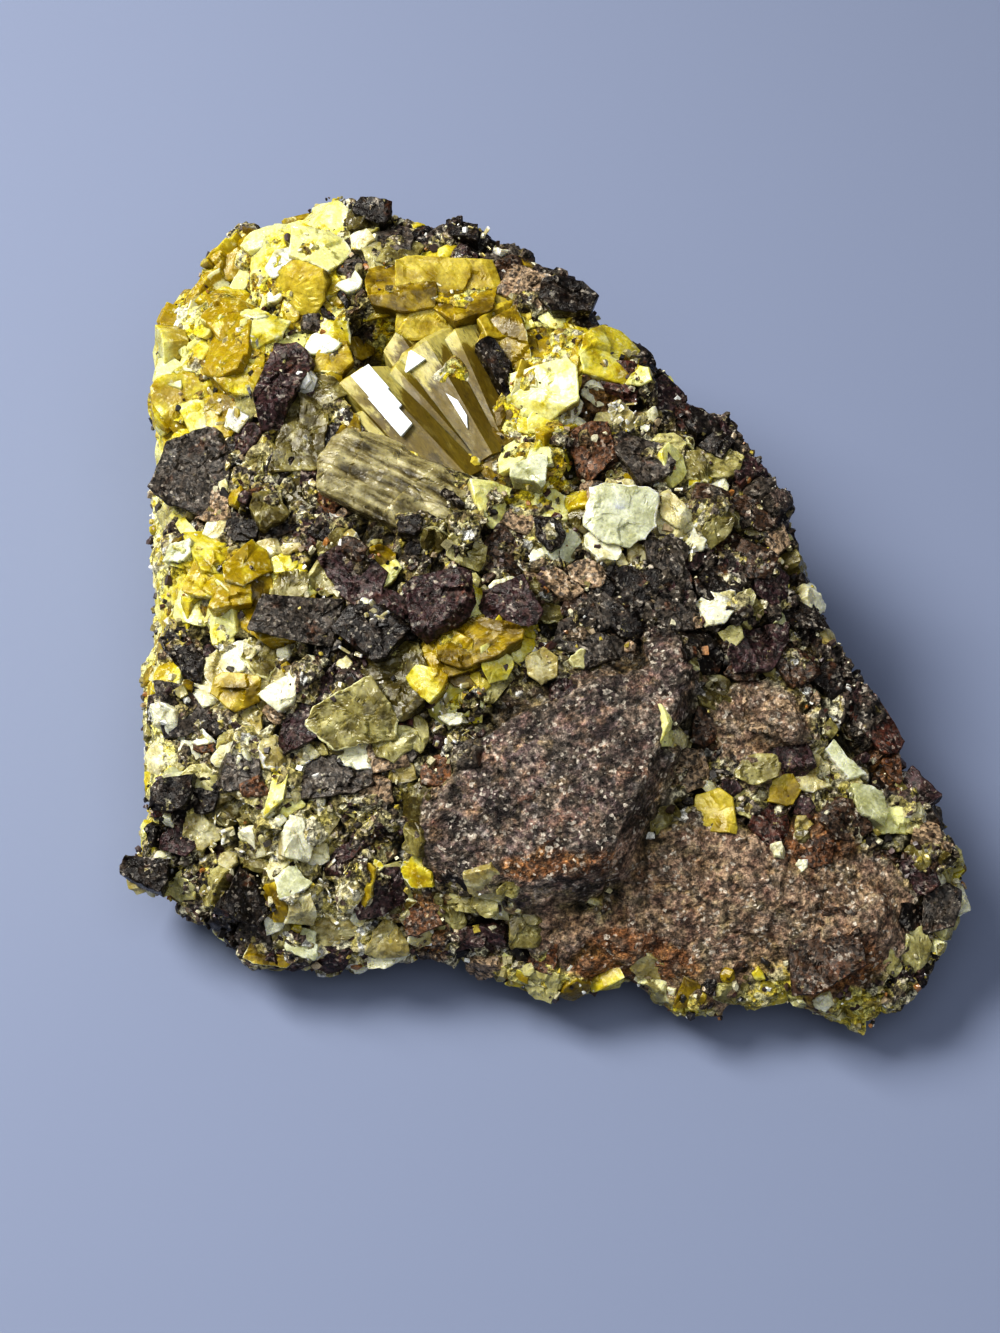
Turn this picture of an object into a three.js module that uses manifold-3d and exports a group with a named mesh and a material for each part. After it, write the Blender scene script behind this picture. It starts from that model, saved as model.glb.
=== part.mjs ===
// A hand specimen of pyromorphite: a wedge of brown-black gossan (a goethite breccia) with yellow pyromorphite
// crystals grown on its shoulder, edges and ledges, and a hollow (vug) in its top lined with amber crystals.
//
// Millimetres, +Z up. The origin is the centre of the specimen's box, at the flat break that it rests on. -Y is
// the front, the low side that faces the viewer, and the vug is towards the back left.
//
// How it is built: the body is a ring of stations round the outline (foot, girdle, rim) closed over the top
// by broken ledges. Lumps (clasts) and the smallest crystals are joined to it. Each large crystal group is one
// solid of its own, made of convex crystals, and the body is cut by those crystals grown by SEAT_GAP, so that
// the group sits in a socket.
import * as THREE from 'three';
import { ConvexGeometry } from 'three/addons/geometries/ConvexGeometry.js';
import { mergeVertices } from 'three/addons/utils/BufferGeometryUtils.js';
import Module from 'manifold-3d';

const wasm = await Module();
wasm.setup();

// ---------------------------------------------------------------- driving dimensions
const SEAT_GAP = 0.3;        // clearance between a crystal group and its socket
const WIDEST_STEP = 0.16;    // radians: stations further apart than this get points between them
const TOP_RINGS = 7;         // rings between the rim and the middle of the top
const RIM_BLEND = 0.15;      // share of the way from the rim to the middle over which the top leaves the rim
const LEDGE_SHARPNESS = 3.0; // how far, in mm, one ledge of the top blends into the next
const ROUGHNESS = 0.35;      // height of the small unevenness on the body
const HEART = [-2, -1];      // the middle that the rings close on

// Stations round the widest line, anticlockwise from the right-hand corner:
// [x, y, height of the widest line, height of the rim, inset of the rim, inset of the foot].
const STATIONS = [
  [29.0, -22.0, 6, 9.0, 3.0, 5.0],
  [28.0, -18.5, 7, 10.0, 2.5, 4.0],
  [25.0, -15.0, 7, 12.0, 1.6, 2.5],
  [23.6, -11.0, 7, 13.0, 1.4, 2.0],
  [21.4, -6.5, 7, 14.0, 1.2, 2.0],
  [18.8, -0.7, 8, 15.8, 1.2, 2.0],
  [17.0, 5.5, 8, 17.0, 1.2, 2.0],
  [14.0, 10.3, 9, 18.2, 1.2, 2.5],
  [10.6, 11.4, 9, 18.4, 1.0, 3.0],
  [8.0, 16.0, 9, 19.2, 1.2, 3.0],
  [4.4, 18.4, 10, 19.8, 1.2, 3.0],
  [1.4, 21.8, 10, 20.2, 1.2, 3.0],
  [-3.2, 24.5, 10, 20.8, 1.2, 3.0],
  [-8.4, 26.2, 10, 20.8, 1.4, 3.0],
  [-12.2, 27.6, 11, 20.6, 1.4, 3.0],
  [-15.0, 30.0, 12, 20.0, 1.6, 4.0],
  [-17.6, 31.0, 13, 18.8, 2.0, 5.0],
  [-20.2, 29.4, 12, 18.0, 2.4, 5.0],
  [-23.4, 26.4, 12, 17.2, 2.4, 4.5],
  [-26.4, 23.6, 11, 16.4, 2.4, 4.0],
  [-28.8, 20.0, 11, 16.0, 2.6, 4.0],
  [-28.6, 13.6, 10, 16.0, 2.2, 3.5],
  [-28.7, 8.0, 9, 15.5, 2.0, 3.0],
  [-27.9, -1.7, 8, 14.6, 2.0, 2.5],
  [-28.3, -7.0, 8, 13.8, 2.0, 2.5],
  [-27.9, -12.0, 7, 12.4, 2.0, 2.5],
  [-28.0, -17.0, 6, 10.0, 2.0, 3.0],
  [-29.0, -20.8, 6, 8.0, 2.0, 5.0],
  [-26.2, -21.9, 5, 8.0, 2.0, 4.0],
  [-22.9, -24.3, 5, 7.5, 2.0, 3.0],
  [-19.6, -26.6, 4, 7.0, 2.0, 2.5],
  [-14.8, -26.6, 4, 7.0, 2.0, 2.5],
  [-8.4, -26.2, 5, 7.5, 1.6, 3.0],
  [-4.6, -26.8, 4, 7.0, 1.6, 3.0],
  [0.2, -28.3, 4, 7.0, 2.0, 3.0],
  [5.0, -27.0, 4, 7.5, 1.6, 3.0],
  [9.7, -29.6, 4, 6.8, 2.2, 3.5],
  [15.8, -28.2, 4, 7.0, 1.8, 3.5],
  [21.4, -31.0, 3, 6.4, 2.4, 5.0],
  [25.4, -28.8, 5, 7.0, 2.4, 5.0],
  [27.2, -25.2, 6, 8.0, 2.4, 5.0],
];

// Broken ledges of the top: [x, y, height, rise per mm along x, rise per mm along y].
const LEDGES = [
  [-15, 25, 20.8, 0.10, -0.10],
  [-6, 22, 21.6, -0.05, -0.05],
  [3, 16, 20.6, -0.12, 0.05],
  [-22, 19, 18.6, 0.30, -0.10],
  [-19, 11, 19.4, 0.15, 0.05],
  [-25, 5, 16.4, 0.25, 0.05],
  [-21, -3, 16.0, 0.18, 0.12],
  [-23, -11, 13.4, 0.15, 0.25],
  [-20, -19, 10.6, 0.10, 0.45],
  [-13, -23, 8.8, 0.05, 0.50],
  [-13, -5, 17.2, 0.05, 0.12],
  [-9, -12, 15.6, 0.05, 0.25],
  [-4, -4, 18.3, 0.00, 0.12],
  [4, 2, 19.0, -0.05, 0.08],
  [6, -6, 17.6, -0.05, 0.10],
  [11, 4, 18.2, -0.15, 0.05],
  [15, -3, 16.4, -0.20, 0.10],
  [14, -11, 14.4, -0.12, 0.20],
  [20, -13, 12.8, -0.15, 0.20],
  [-10, 3, 18.9, 0.05, 0.05],
  [-5, -18, 12.6, 0.15, 0.30],
  [-2, -24, 9.0, 0.02, 0.55],
  [9, -17, 11.8, 0.00, 0.25],
  [15, -21, 10.6, -0.05, 0.22],
  [8, -26, 8.2, 0.00, 0.40],
  [22, -25, 8.4, -0.10, 0.25],
  [25, -20, 9.6, -0.12, 0.10],
];

// Clasts, the lumps of older rock in the breccia, that a ray from above finds:
// [x, y, length, width, height, bearing of the long side in degrees, share of the height that is buried].
const CLASTS = [
  [-25.2, 6.4, 7.0, 4.8, 4.4, 105, 0.6],
  [-18.6, 11.6, 7.0, 3.0, 4.0, 70, 0.5],
  [-20.0, 2.6, 5.4, 2.6, 2.8, 0, 0.55],
  [-13.0, -1.8, 6.4, 3.8, 3.4, -50, 0.55],
  [-17.4, -6.4, 4.8, 3.2, 3.2, 20, 0.55],
  [-11.9, -6.8, 5.0, 4.2, 3.4, -30, 0.6],
  [-7.2, -5.2, 4.8, 4.4, 4.2, 20, 0.5],
  [-1.8, -5.6, 4.6, 3.4, 3.8, 15, 0.5],
  [0.8, -0.8, 3.0, 2.6, 3.2, 60, 0.5],
  [3.6, 6.0, 4.0, 3.8, 4.0, 20, 0.5],
  [7.6, 5.2, 4.4, 3.8, 3.8, 60, 0.55],
  [6.6, 11.4, 5.0, 3.6, 4.0, -40, 0.5],
  [14.6, -2.6, 5.4, 3.0, 3.2, -35, 0.5],
  [15.6, 3.0, 4.4, 3.2, 3.0, -50, 0.55],
  [1.4, 18.2, 5.4, 3.4, 3.8, -50, 0.5],
  [-6.0, 23.6, 5.6, 3.2, 3.2, -20, 0.5],
  [-12.8, 25.6, 3.6, 2.4, 3.0, 0, 0.4],
  [-17.0, -11.2, 7.4, 2.4, 3.0, 52, 0.5],
  [-25.4, -10.4, 4.4, 3.4, 3.2, 60, 0.5],
  [-25.4, -16.8, 5.2, 3.8, 3.8, 60, 0.5],
  [-27.0, -20.6, 3.4, 2.6, 3.0, -10, 0.4],
  [-21.6, -22.8, 5.0, 4.2, 4.0, -20, 0.5],
  [-12.2, -22.4, 6.4, 4.0, 3.8, 68, 0.5],
  [15.6, -13.2, 5.4, 3.2, 3.2, -5, 0.55],
  [19.4, -18.6, 8.0, 5.6, 4.2, 40, 0.65],
  [20.6, -25.8, 9.0, 6.4, 4.4, 30, 0.65],
  [8.4, -9.6, 5.4, 4.2, 3.8, 40, 0.55],
  [5.0, -26.0, 8.0, 4.4, 3.8, 0, 0.65],
  [26.2, -20.4, 4.4, 3.6, 3.2, 70, 0.5],
];

// The liver-brown slab that stands proud of the front: its corners, top ones first.
const SLAB = [
  [-9.0, -20.6, 12.2], [-8.2, -17.0, 14.2], [-2.6, -13.6, 16.2], [3.4, -11.2, 17.4], [9.8, -9.4, 17.2],
  [8.2, -14.2, 16.8], [5.6, -19.2, 15.4], [3.8, -22.6, 13.2], [-1.4, -23.8, 11.6], [-6.0, -23.4, 10.8],
  [11.0, -11.0, 12.0], [8.6, -17.6, 10.0], [6.0, -22.6, 8.8], [-1.0, -25.0, 7.6], [-8.6, -22.8, 8.0],
  [-9.6, -18.0, 9.0], [3.0, -10.0, 12.0],
];

// ---------------------------------------------------------------- small tools
// The same random numbers each run, from a seed.
function dice(seed) {
  let state = seed * 2654435761 % 4294967296;
  return (low = 0, high = 1) => {
    state = (state + 0x6d2b79f5) | 0;
    let t = Math.imul(state ^ (state >>> 15), 1 | state);
    t = (t + Math.imul(t ^ (t >>> 7), 61 | t)) ^ t;
    return low + (high - low) * (((t ^ (t >>> 14)) >>> 0) / 4294967296);
  };
}

// A closed geometry as a solid that can be joined and cut.
function solidOf(geometry, matrix = new THREE.Matrix4()) {
  const bare = new THREE.BufferGeometry();
  bare.setAttribute('position', geometry.getAttribute('position').clone());
  if (geometry.index) bare.setIndex(geometry.index);
  bare.applyMatrix4(matrix);
  const merged = mergeVertices(bare, 1e-4);
  return new wasm.Manifold(new wasm.Mesh({
    numProp: 3,
    vertProperties: merged.attributes.position.array,
    triVerts: new Uint32Array(merged.index.array),
  }));
}

// A solid as a geometry for a mesh.
function geometryOf(solid) {
  const mesh = solid.getMesh();
  const geometry = new THREE.BufferGeometry();
  geometry.setAttribute('position', new THREE.BufferAttribute(mesh.vertProperties, 3));
  geometry.setIndex(new THREE.BufferAttribute(mesh.triVerts, 1));
  return geometry;
}

const joined = (solids) => solids.reduce((all, one) => all.add(one));
const largest = (solid) => solid.decompose().sort((a, b) => b.volume() - a.volume())[0];

// ---------------------------------------------------------------- the body of gossan
// The stations read as one closed line: its values at a bearing seen from HEART.
const bearingOf = ([x, y]) => Math.atan2(y - HEART[1], x - HEART[0]);
const sortedStations = [...STATIONS].sort((a, b) => bearingOf(a) - bearingOf(b));

function stationAt(bearing) {
  const n = sortedStations.length;
  const next = sortedStations.findIndex((s) => bearingOf(s) > bearing + 1e-9);
  const b = sortedStations[next < 0 ? 0 : next];
  const a = sortedStations[(next < 0 ? n - 1 : next - 1 + n) % n];
  const turn = 2 * Math.PI;
  const span = (bearingOf(b) - bearingOf(a) + turn) % turn;
  const share = ((bearing - bearingOf(a) + turn) % turn) / span;
  return a.map((value, i) => value + (b[i] - value) * share);
}

// Height of the broken top at a point: each ledge is a tilted plane, and the nearest ones count most.
function topHeight(x, y) {
  let sum = 0;
  let weights = 0;
  for (const [lx, ly, height, riseX, riseY] of LEDGES) {
    const dx = x - lx;
    const dy = y - ly;
    const weight = Math.exp(-(dx * dx + dy * dy) / (2 * LEDGE_SHARPNESS ** 2)) + 1e-9;
    sum += weight * (height + riseX * dx + riseY * dy);
    weights += weight;
  }
  return sum / weights;
}

function bodyGeometry() {
  const roll = dice(7);
  // Every station has its own bearing, so the outermost ones set the specimen's box exactly.
  const bearings = sortedStations.flatMap((station, i) => {
    const start = bearingOf(station);
    const next = bearingOf(sortedStations[(i + 1) % sortedStations.length]);
    const gap = (next - start + 2 * Math.PI) % (2 * Math.PI);
    const steps = Math.ceil(gap / WIDEST_STEP);
    return Array.from({ length: steps }, (_, k) => start + gap * k / steps);
  });
  const sectors = bearings.length;
  const inward = (x, y, inset) => {
    const dx = x - HEART[0];
    const dy = y - HEART[1];
    const scale = 1 - inset / Math.hypot(dx, dy);
    return [HEART[0] + dx * scale, HEART[1] + dy * scale];
  };
  const foot = [];
  const skirt = [];
  const girdle = [];
  const wall = [];
  const rim = [];
  for (const bearing of bearings) {
    const [x, y, girdleZ, rimZ, rimInset, footInset] = stationAt(bearing);
    foot.push([...inward(x, y, footInset * roll(0.9, 1.4)), 0]);
    skirt.push([...inward(x, y, footInset * roll(0.2, 0.6)), girdleZ * roll(0.4, 0.6)]);
    girdle.push([x, y, girdleZ]);
    wall.push([...inward(x, y, rimInset * roll(0.1, 0.7)), girdleZ + (rimZ - girdleZ) * roll(0.5, 0.7)]);
    rim.push([...inward(x, y, rimInset), rimZ + roll(-1, 1) * ROUGHNESS]);
  }
  const rings = [foot, skirt, girdle, wall, rim];
  for (let k = 1; k <= TOP_RINGS; k += 1) {
    const inwards = k / (TOP_RINGS + 1);
    const rimShare = Math.max(0, 1 - inwards / RIM_BLEND);
    rings.push(rim.map(([rimX, rimY, rimZ]) => {
      const x = rimX + (HEART[0] - rimX) * inwards;
      const y = rimY + (HEART[1] - rimY) * inwards;
      const height = topHeight(x, y) + roll(-1, 1) * ROUGHNESS * (1 - inwards);
      return [x, y, height * (1 - rimShare) + (rimZ + 0.6) * rimShare];
    }));
  }
  const points = rings.flat();
  const bottomMiddle = points.push([HEART[0], HEART[1], 0]) - 1;
  const topMiddle = points.push([HEART[0], HEART[1], topHeight(...HEART)]) - 1;
  const faces = [];
  for (let i = 0; i < sectors; i += 1) {
    const j = (i + 1) % sectors;
    faces.push([bottomMiddle, j, i]);
    for (let k = 0; k + 1 < rings.length; k += 1) {
      const low = k * sectors;
      const high = low + sectors;
      faces.push([low + i, low + j, high + j], [low + i, high + j, high + i]);
    }
    const last = (rings.length - 1) * sectors;
    faces.push([last + i, last + j, topMiddle]);
  }
  const geometry = new THREE.BufferGeometry();
  geometry.setAttribute('position', new THREE.Float32BufferAttribute(points.flat(), 3));
  geometry.setIndex(faces.flat());
  return geometry;
}

const rawBody = bodyGeometry();
const bodyMesh = new THREE.Mesh(rawBody, new THREE.MeshBasicMaterial({ side: THREE.DoubleSide }));
bodyMesh.updateMatrixWorld();
const caster = new THREE.Raycaster();

// Where a straight line first meets the body: the point and the way the surface faces there.
function meet(from, towards) {
  caster.set(from, towards.clone().normalize());
  const [hit] = caster.intersectObject(bodyMesh);
  if (!hit) throw new Error(`nothing is met from ${from.toArray()}`);
  return { point: hit.point, normal: hit.face.normal.clone() };
}

const fromAbove = (x, y) => meet(new THREE.Vector3(x, y, 60), new THREE.Vector3(0, 0, -1));

// On the side wall at (x, y)'s bearing, at height z.
function fromSide(x, y, z) {
  const out = new THREE.Vector3(x - HEART[0], y - HEART[1], 0).normalize();
  return meet(new THREE.Vector3(HEART[0], HEART[1], z).addScaledVector(out, 60), out.negate());
}

// ---------------------------------------------------------------- convex lumps and crystals
// Turns +Z to a direction, then turns about it until the local +X lies along a bearing.
function placing(origin, up, bearingDegrees) {
  const z = up.clone().normalize();
  const bearing = THREE.MathUtils.degToRad(bearingDegrees);
  const x = new THREE.Vector3(Math.cos(bearing), Math.sin(bearing), 0);
  x.addScaledVector(z, -x.dot(z));
  if (x.lengthSq() < 1e-6) x.set(0, 0, 1).addScaledVector(z, -z.z);
  x.normalize();
  const y = new THREE.Vector3().crossVectors(z, x);
  return new THREE.Matrix4().makeBasis(x, y, z).setPosition(origin);
}

// A broken lump: points spread evenly over a ball, jittered, and stretched to its three sizes.
function lump(length, width, height, seed, corners = 12) {
  const roll = dice(seed);
  const directions = Array.from({ length: corners }, (_, i) => {
    const z = 1 - 2 * (i + 0.5) / corners;
    const turn = i * Math.PI * (3 - Math.sqrt(5)) + roll(-0.35, 0.35);
    const flat = Math.sqrt(1 - z * z);
    return new THREE.Vector3(Math.cos(turn) * flat, Math.sin(turn) * flat, z).multiplyScalar(roll(0.84, 1.08));
  });
  return (grow) => new ConvexGeometry(directions.map((d) => new THREE.Vector3(
    d.x * (length / 2 + grow), d.y * (width / 2 + grow), d.z * (height / 2 + grow))));
}

// A six-sided prism that stands on its own origin. A bevel cuts off the edges of its end.
function prism(width, length, bevel = 0) {
  return (grow) => {
    const radius = width / 2 + grow;
    const points = [];
    const ring = (r, z) => {
      for (let i = 0; i < 6; i += 1) {
        const a = i * Math.PI / 3;
        points.push(new THREE.Vector3(Math.cos(a) * r, Math.sin(a) * r, z));
      }
    };
    ring(radius, -grow);
    ring(radius, length + grow - bevel * width);
    if (bevel) ring(radius - bevel * width, length + grow);
    return new ConvexGeometry(points);
  };
}

// One convex piece at a place. shape(grow) gives its geometry, grown by that much all round.
const piece = (shape, matrix) => ({ solid: (grow) => solidOf(shape(grow), matrix) });

// A clast or yellow lump lying on the surface that seat() found.
function lying(seat, [length, width, height], bearing, buried, seed) {
  const centre = seat.point.clone().addScaledVector(seat.normal, height * (0.5 - buried));
  return piece(lump(length, width, height, seed), placing(centre, seat.normal, bearing));
}

// Crystals that fan out from a seat: count of them within reach, each leaning away from the middle.
function fan(seat, { count, reach, width, length, lean = 0.5, seed }) {
  const roll = dice(seed);
  const flat = placing(seat.point, seat.normal, 0);
  return Array.from({ length: count }, (_, i) => {
    const radius = reach * Math.sqrt((i + 0.3) / count);
    const turn = i * 2.4 + roll(-0.4, 0.4);
    const foot = new THREE.Vector3(Math.cos(turn) * radius, Math.sin(turn) * radius, -0.9).applyMatrix4(flat);
    const away = new THREE.Vector3(
      Math.cos(turn) * lean * radius / reach + roll(-0.3, 0.3),
      Math.sin(turn) * lean * radius / reach + roll(-0.3, 0.3),
      1).transformDirection(flat);
    const size = roll(width[0], width[1]);
    return piece(prism(size, roll(length[0], length[1]) + 0.9), placing(foot, away, roll(0, 360)));
  });
}

// A single crystal lying along a line, from its foot to its end.
function along(from, to, width, bearing, bevel = 0) {
  const foot = new THREE.Vector3(...from);
  const axis = new THREE.Vector3(...to).sub(foot);
  return piece(prism(width, axis.length(), bevel), placing(foot, axis, bearing));
}

// ---------------------------------------------------------------- crystal groups
// Yellow masses: [x, y, length, width, height, bearing, share buried], and crystals that stand on them:
// [x, y, count, reach, width, length].
function massesAndFans(masses, fans, seed) {
  return {
    masses: masses.map(([x, y, length, width, height, bearing, buried], i) => (
      lying(fromAbove(x, y), [length, width, height], bearing, buried, seed + i))),
    crystals: fans.flatMap(([x, y, count, reach, wide, tall], i) => fan(fromAbove(x, y), {
      count, reach, width: [wide * 0.7, wide], length: [tall * 0.5, tall], seed: seed + 50 + i,
    })),
  };
}

// A vein on the side wall: one mass at each [x, y, z], which gives the bearing and the height.
function vein(places, size, bearing, seed) {
  return places.map(([x, y, z], i) => lying(fromSide(x, y, z), size, bearing, 0.8, seed + i));
}

const groups = {};

groups.shoulder_crust = massesAndFans(
  [
    [-25.0, 18.6, 10.0, 8.0, 6.0, 60, 0.6], [-22.0, 24.4, 10.0, 7.4, 6.0, 35, 0.6],
    [-21.0, 14.6, 9.6, 7.6, 5.4, 75, 0.6], [-18.2, 21.0, 9.0, 7.6, 5.0, 30, 0.6],
    [-26.2, 12.4, 8.0, 6.4, 5.6, 95, 0.6],
  ],
  [
    [-18.0, 22.0, 3, 2.2, 3.0, 1.6], [-24.6, 20.4, 3, 2.2, 3.0, 1.6], [-21.4, 16.2, 3, 2.2, 3.0, 1.7],
    [-25.8, 15.0, 2, 1.6, 2.6, 1.6],
  ],
  100,
);
groups.right_cluster = massesAndFans(
  [[-0.4, 4.4, 5.0, 3.6, 3.4, -20, 0.5]],
  [[-0.4, 4.2, 4, 1.4, 2.0, 2.0]],
  200,
);

groups.east_druse = massesAndFans(
  [[3.0, 12.8, 6.4, 4.6, 4.0, -25, 0.6], [0.0, 10.8, 5.6, 4.2, 4.0, 40, 0.6]],
  [[2.0, 12.6, 3, 1.8, 2.2, 1.4]],
  230,
);
groups.pale_crystals = massesAndFans(
  [[4.8, 1.4, 5.8, 4.0, 3.4, -15, 0.55], [8.4, 1.6, 4.4, 3.0, 3.0, -30, 0.55],
    [11.4, 1.2, 4.4, 3.2, 3.4, 70, 0.55]],
  [],
  260,
);
groups.centre_pocket_crystals = massesAndFans(
  [[-4.4, -9.4, 6.4, 4.4, 4.0, 25, 0.6], [-8.0, -10.6, 5.2, 3.8, 3.6, -20, 0.6]],
  [[-5.4, -9.6, 3, 1.6, 2.4, 1.4]],
  290,
);
groups.left_face_crystals = massesAndFans(
  [[-21.8, -2.6, 8.0, 5.2, 4.0, 10, 0.62], [-24.8, -0.6, 4.6, 4.0, 3.6, 80, 0.6]],
  [[-21.6, -2.6, 3, 1.8, 2.6, 1.6], [-24.6, -1.0, 1, 0.2, 2.4, 1.6]],
  320,
);

groups.lower_left_druse = massesAndFans(
  [[-19.4, -15.4, 6.6, 5.6, 4.4, -60, 0.55], [-18.0, -19.2, 6.6, 5.2, 4.2, -40, 0.55],
    [-17.4, -22.8, 5.4, 4.0, 4.0, -20, 0.5]],
  [[-19.2, -15.8, 3, 1.8, 2.6, 1.5]],
  380,
);
groups.front_seam = {
  masses: vein([[-0.6, -28.6, 4.4], [4.0, -28.0, 4.6], [8.6, -29.2, 4.2], [13.0, -29.2, 4.6], [17.0, -29.2, 5.0],
    [19.0, -30.0, 6.0]], [8.8, 4.0, 3.2], 0, 500),
  crystals: [],
};
groups.left_edge_vein = {
  masses: vein([[-28.6, 8.4, 8.6], [-28.6, 3.4, 8.4], [-28.0, -1.6, 8.2], [-28.2, -6.8, 7.8],
    [-28.0, -12.0, 7.2]], [8.6, 4.0, 2.8], 90, 560),
  crystals: [],
};
// The bundle of grown-together crystals along the vug's front lip: prisms side by side, arched across.
const BUNDLE_FOOT = [-14.2, 5.6, 18.6];
const BUNDLE_END = [-4.2, 0.0, 19.0];
const BUNDLE_PRISMS = 5;
const BUNDLE_PITCH = 1.15;
const BUNDLE_WIDTH = 2.9;
groups.striated_bundle = {
  masses: Array.from({ length: BUNDLE_PRISMS }, (_, i) => {
    const roll = dice(640 + i);
    const across = (i - (BUNDLE_PRISMS - 1) / 2) * BUNDLE_PITCH;
    const shift = [across * 0.5, across * 0.86, -0.1 * across * across];
    const end = BUNDLE_END.map((v, k) => v + shift[k] + (k === 0 ? roll(-1.4, 0.4) : 0));
    return along(BUNDLE_FOOT.map((v, k) => v + shift[k]), end, BUNDLE_WIDTH, roll(0, 60));
  }),
  crystals: [],
};

// Small crystals that are one with the rock: [x, y, length, width, height, bearing, share buried].
const GROWN_IN = [
  [-20.6, -9.0, 5.6, 4.4, 3.4, 70, 0.58],
  [-13.4, -11.8, 5.6, 4.4, 3.0, 40, 0.62],
  [12.6, -5.4, 4.0, 2.4, 2.4, 15, 0.5],
  [14.2, -15.8, 4.6, 3.0, 2.6, -20, 0.6],
  [25.2, -16.8, 4.2, 3.0, 2.6, -60, 0.55],
  [27.0, -19.4, 3.6, 3.0, 2.6, -60, 0.6],
];

// The vug: a bowl-shaped crust, cut by its own hollow, with large prisms that lie across it.
const VUG = [-8.6, 12.2, 20.6];
const VUG_SIZE = [16.4, 15.0, 17.0];
const VUG_CORNERS = 18;
const CRUST_WALL = 1.0;
const vugAt = new THREE.Matrix4().setPosition(...VUG);
const vugShape = lump(...VUG_SIZE, 4, VUG_CORNERS);
const vugOuter = (grow) => solidOf(vugShape(grow), vugAt);
const vugPrisms = [
  along([-4.6, 5.0, 13.0], [-11.2, 9.4, 19.4], 4.2, 20, 0.06),
  along([-1.6, 8.0, 13.5], [-7.6, 12.4, 20.4], 3.8, 40, 0.1),
  along([-5.6, 20.0, 14.0], [-6.6, 17.8, 20.8], 4.8, 15),
  along([-2.2, 12.6, 14.0], [-3.2, 13.6, 20.2], 3.4, 50),
];

// ---------------------------------------------------------------- one solid for each piece
const lookOf = {
  goethite_matrix: { color: 0x4a3b34, roughness: 0.85 },
  shoulder_crust: { color: 0xd9c83a, roughness: 0.4 },
  vug_crystal_crust: { color: 0x9a7d14, roughness: 0.3 },
  striated_bundle: { color: 0x8d8550, roughness: 0.45 },
  pale_crystals: { color: 0xcfd0a0, roughness: 0.45 },
};
const yellowLook = { color: 0xc6b848, roughness: 0.4 };

const specimen = new THREE.Group();
function addNode(name, solid) {
  if (solid.decompose().length > 1) throw new Error(`${name} is in more than one piece`);
  const look = lookOf[name] ?? yellowLook;
  const mesh = new THREE.Mesh(geometryOf(solid), new THREE.MeshStandardMaterial({ metalness: 0, ...look }));
  mesh.name = name;
  specimen.add(mesh);
}

const body = solidOf(rawBody);
const slab = solidOf(new ConvexGeometry(SLAB.map((corner) => new THREE.Vector3(...corner))));
const lumps = [...CLASTS, ...GROWN_IN].map(([x, y, length, width, height, bearing, buried], i) => (
  lying(fromAbove(x, y), [length, width, height], bearing, buried, 900 + i).solid(0)));

const bowl = vugOuter(0).intersect(body).subtract(solidOf(vugShape(-CRUST_WALL), vugAt));
addNode('vug_crystal_crust', joined([bowl, ...vugPrisms.map((p) => p.solid(0))]));
const vugSeat = joined([vugOuter(SEAT_GAP), ...vugPrisms.map((p) => p.solid(SEAT_GAP))]);
let matrix = joined([body, slab, ...lumps]).subtract(vugSeat);

// Each group is cut by the seats before it, and the matrix by each crystal that would touch it.
let seats = vugSeat;
for (const [name, { masses, crystals }] of Object.entries(groups)) {
  addNode(name, joined([...masses, ...crystals].map((p) => p.solid(0))).subtract(seats));
  const massSeat = joined(masses.map((p) => p.solid(SEAT_GAP)));
  seats = seats.add(massSeat);
  matrix = matrix.subtract(massSeat);
  for (const crystal of crystals) {
    const seat = crystal.solid(SEAT_GAP);
    if (!seat.intersect(matrix).isEmpty()) matrix = matrix.subtract(seat);
    seats = seats.add(seat);
  }
}
addNode('goethite_matrix', largest(matrix));

export default specimen;
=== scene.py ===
"""Looks of the pyromorphite specimen: gossan rock with yellow, olive and cream crystals on it.

Lengths in the tables are in millimetres, in the part's own frame (origin at the middle of the base, +Z up, -Y
the low front). The rock is one fine skin made from all the CAD solids. Nearly everything on it is a plate: a
closed grain of rock or crystal that lies flush in the surface, with an uneven outline and a faceted top. The
large plates are placed one by one from the tables, and the others fill the surface between them, each cut
where its neighbours begin.
"""

import math
from types import SimpleNamespace

import bmesh
import bpy
import numpy as np
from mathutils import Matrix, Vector
from mathutils.bvhtree import BVHTree
from mathutils.geometry import convex_hull_2d
from mathutils.kdtree import KDTree


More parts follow.
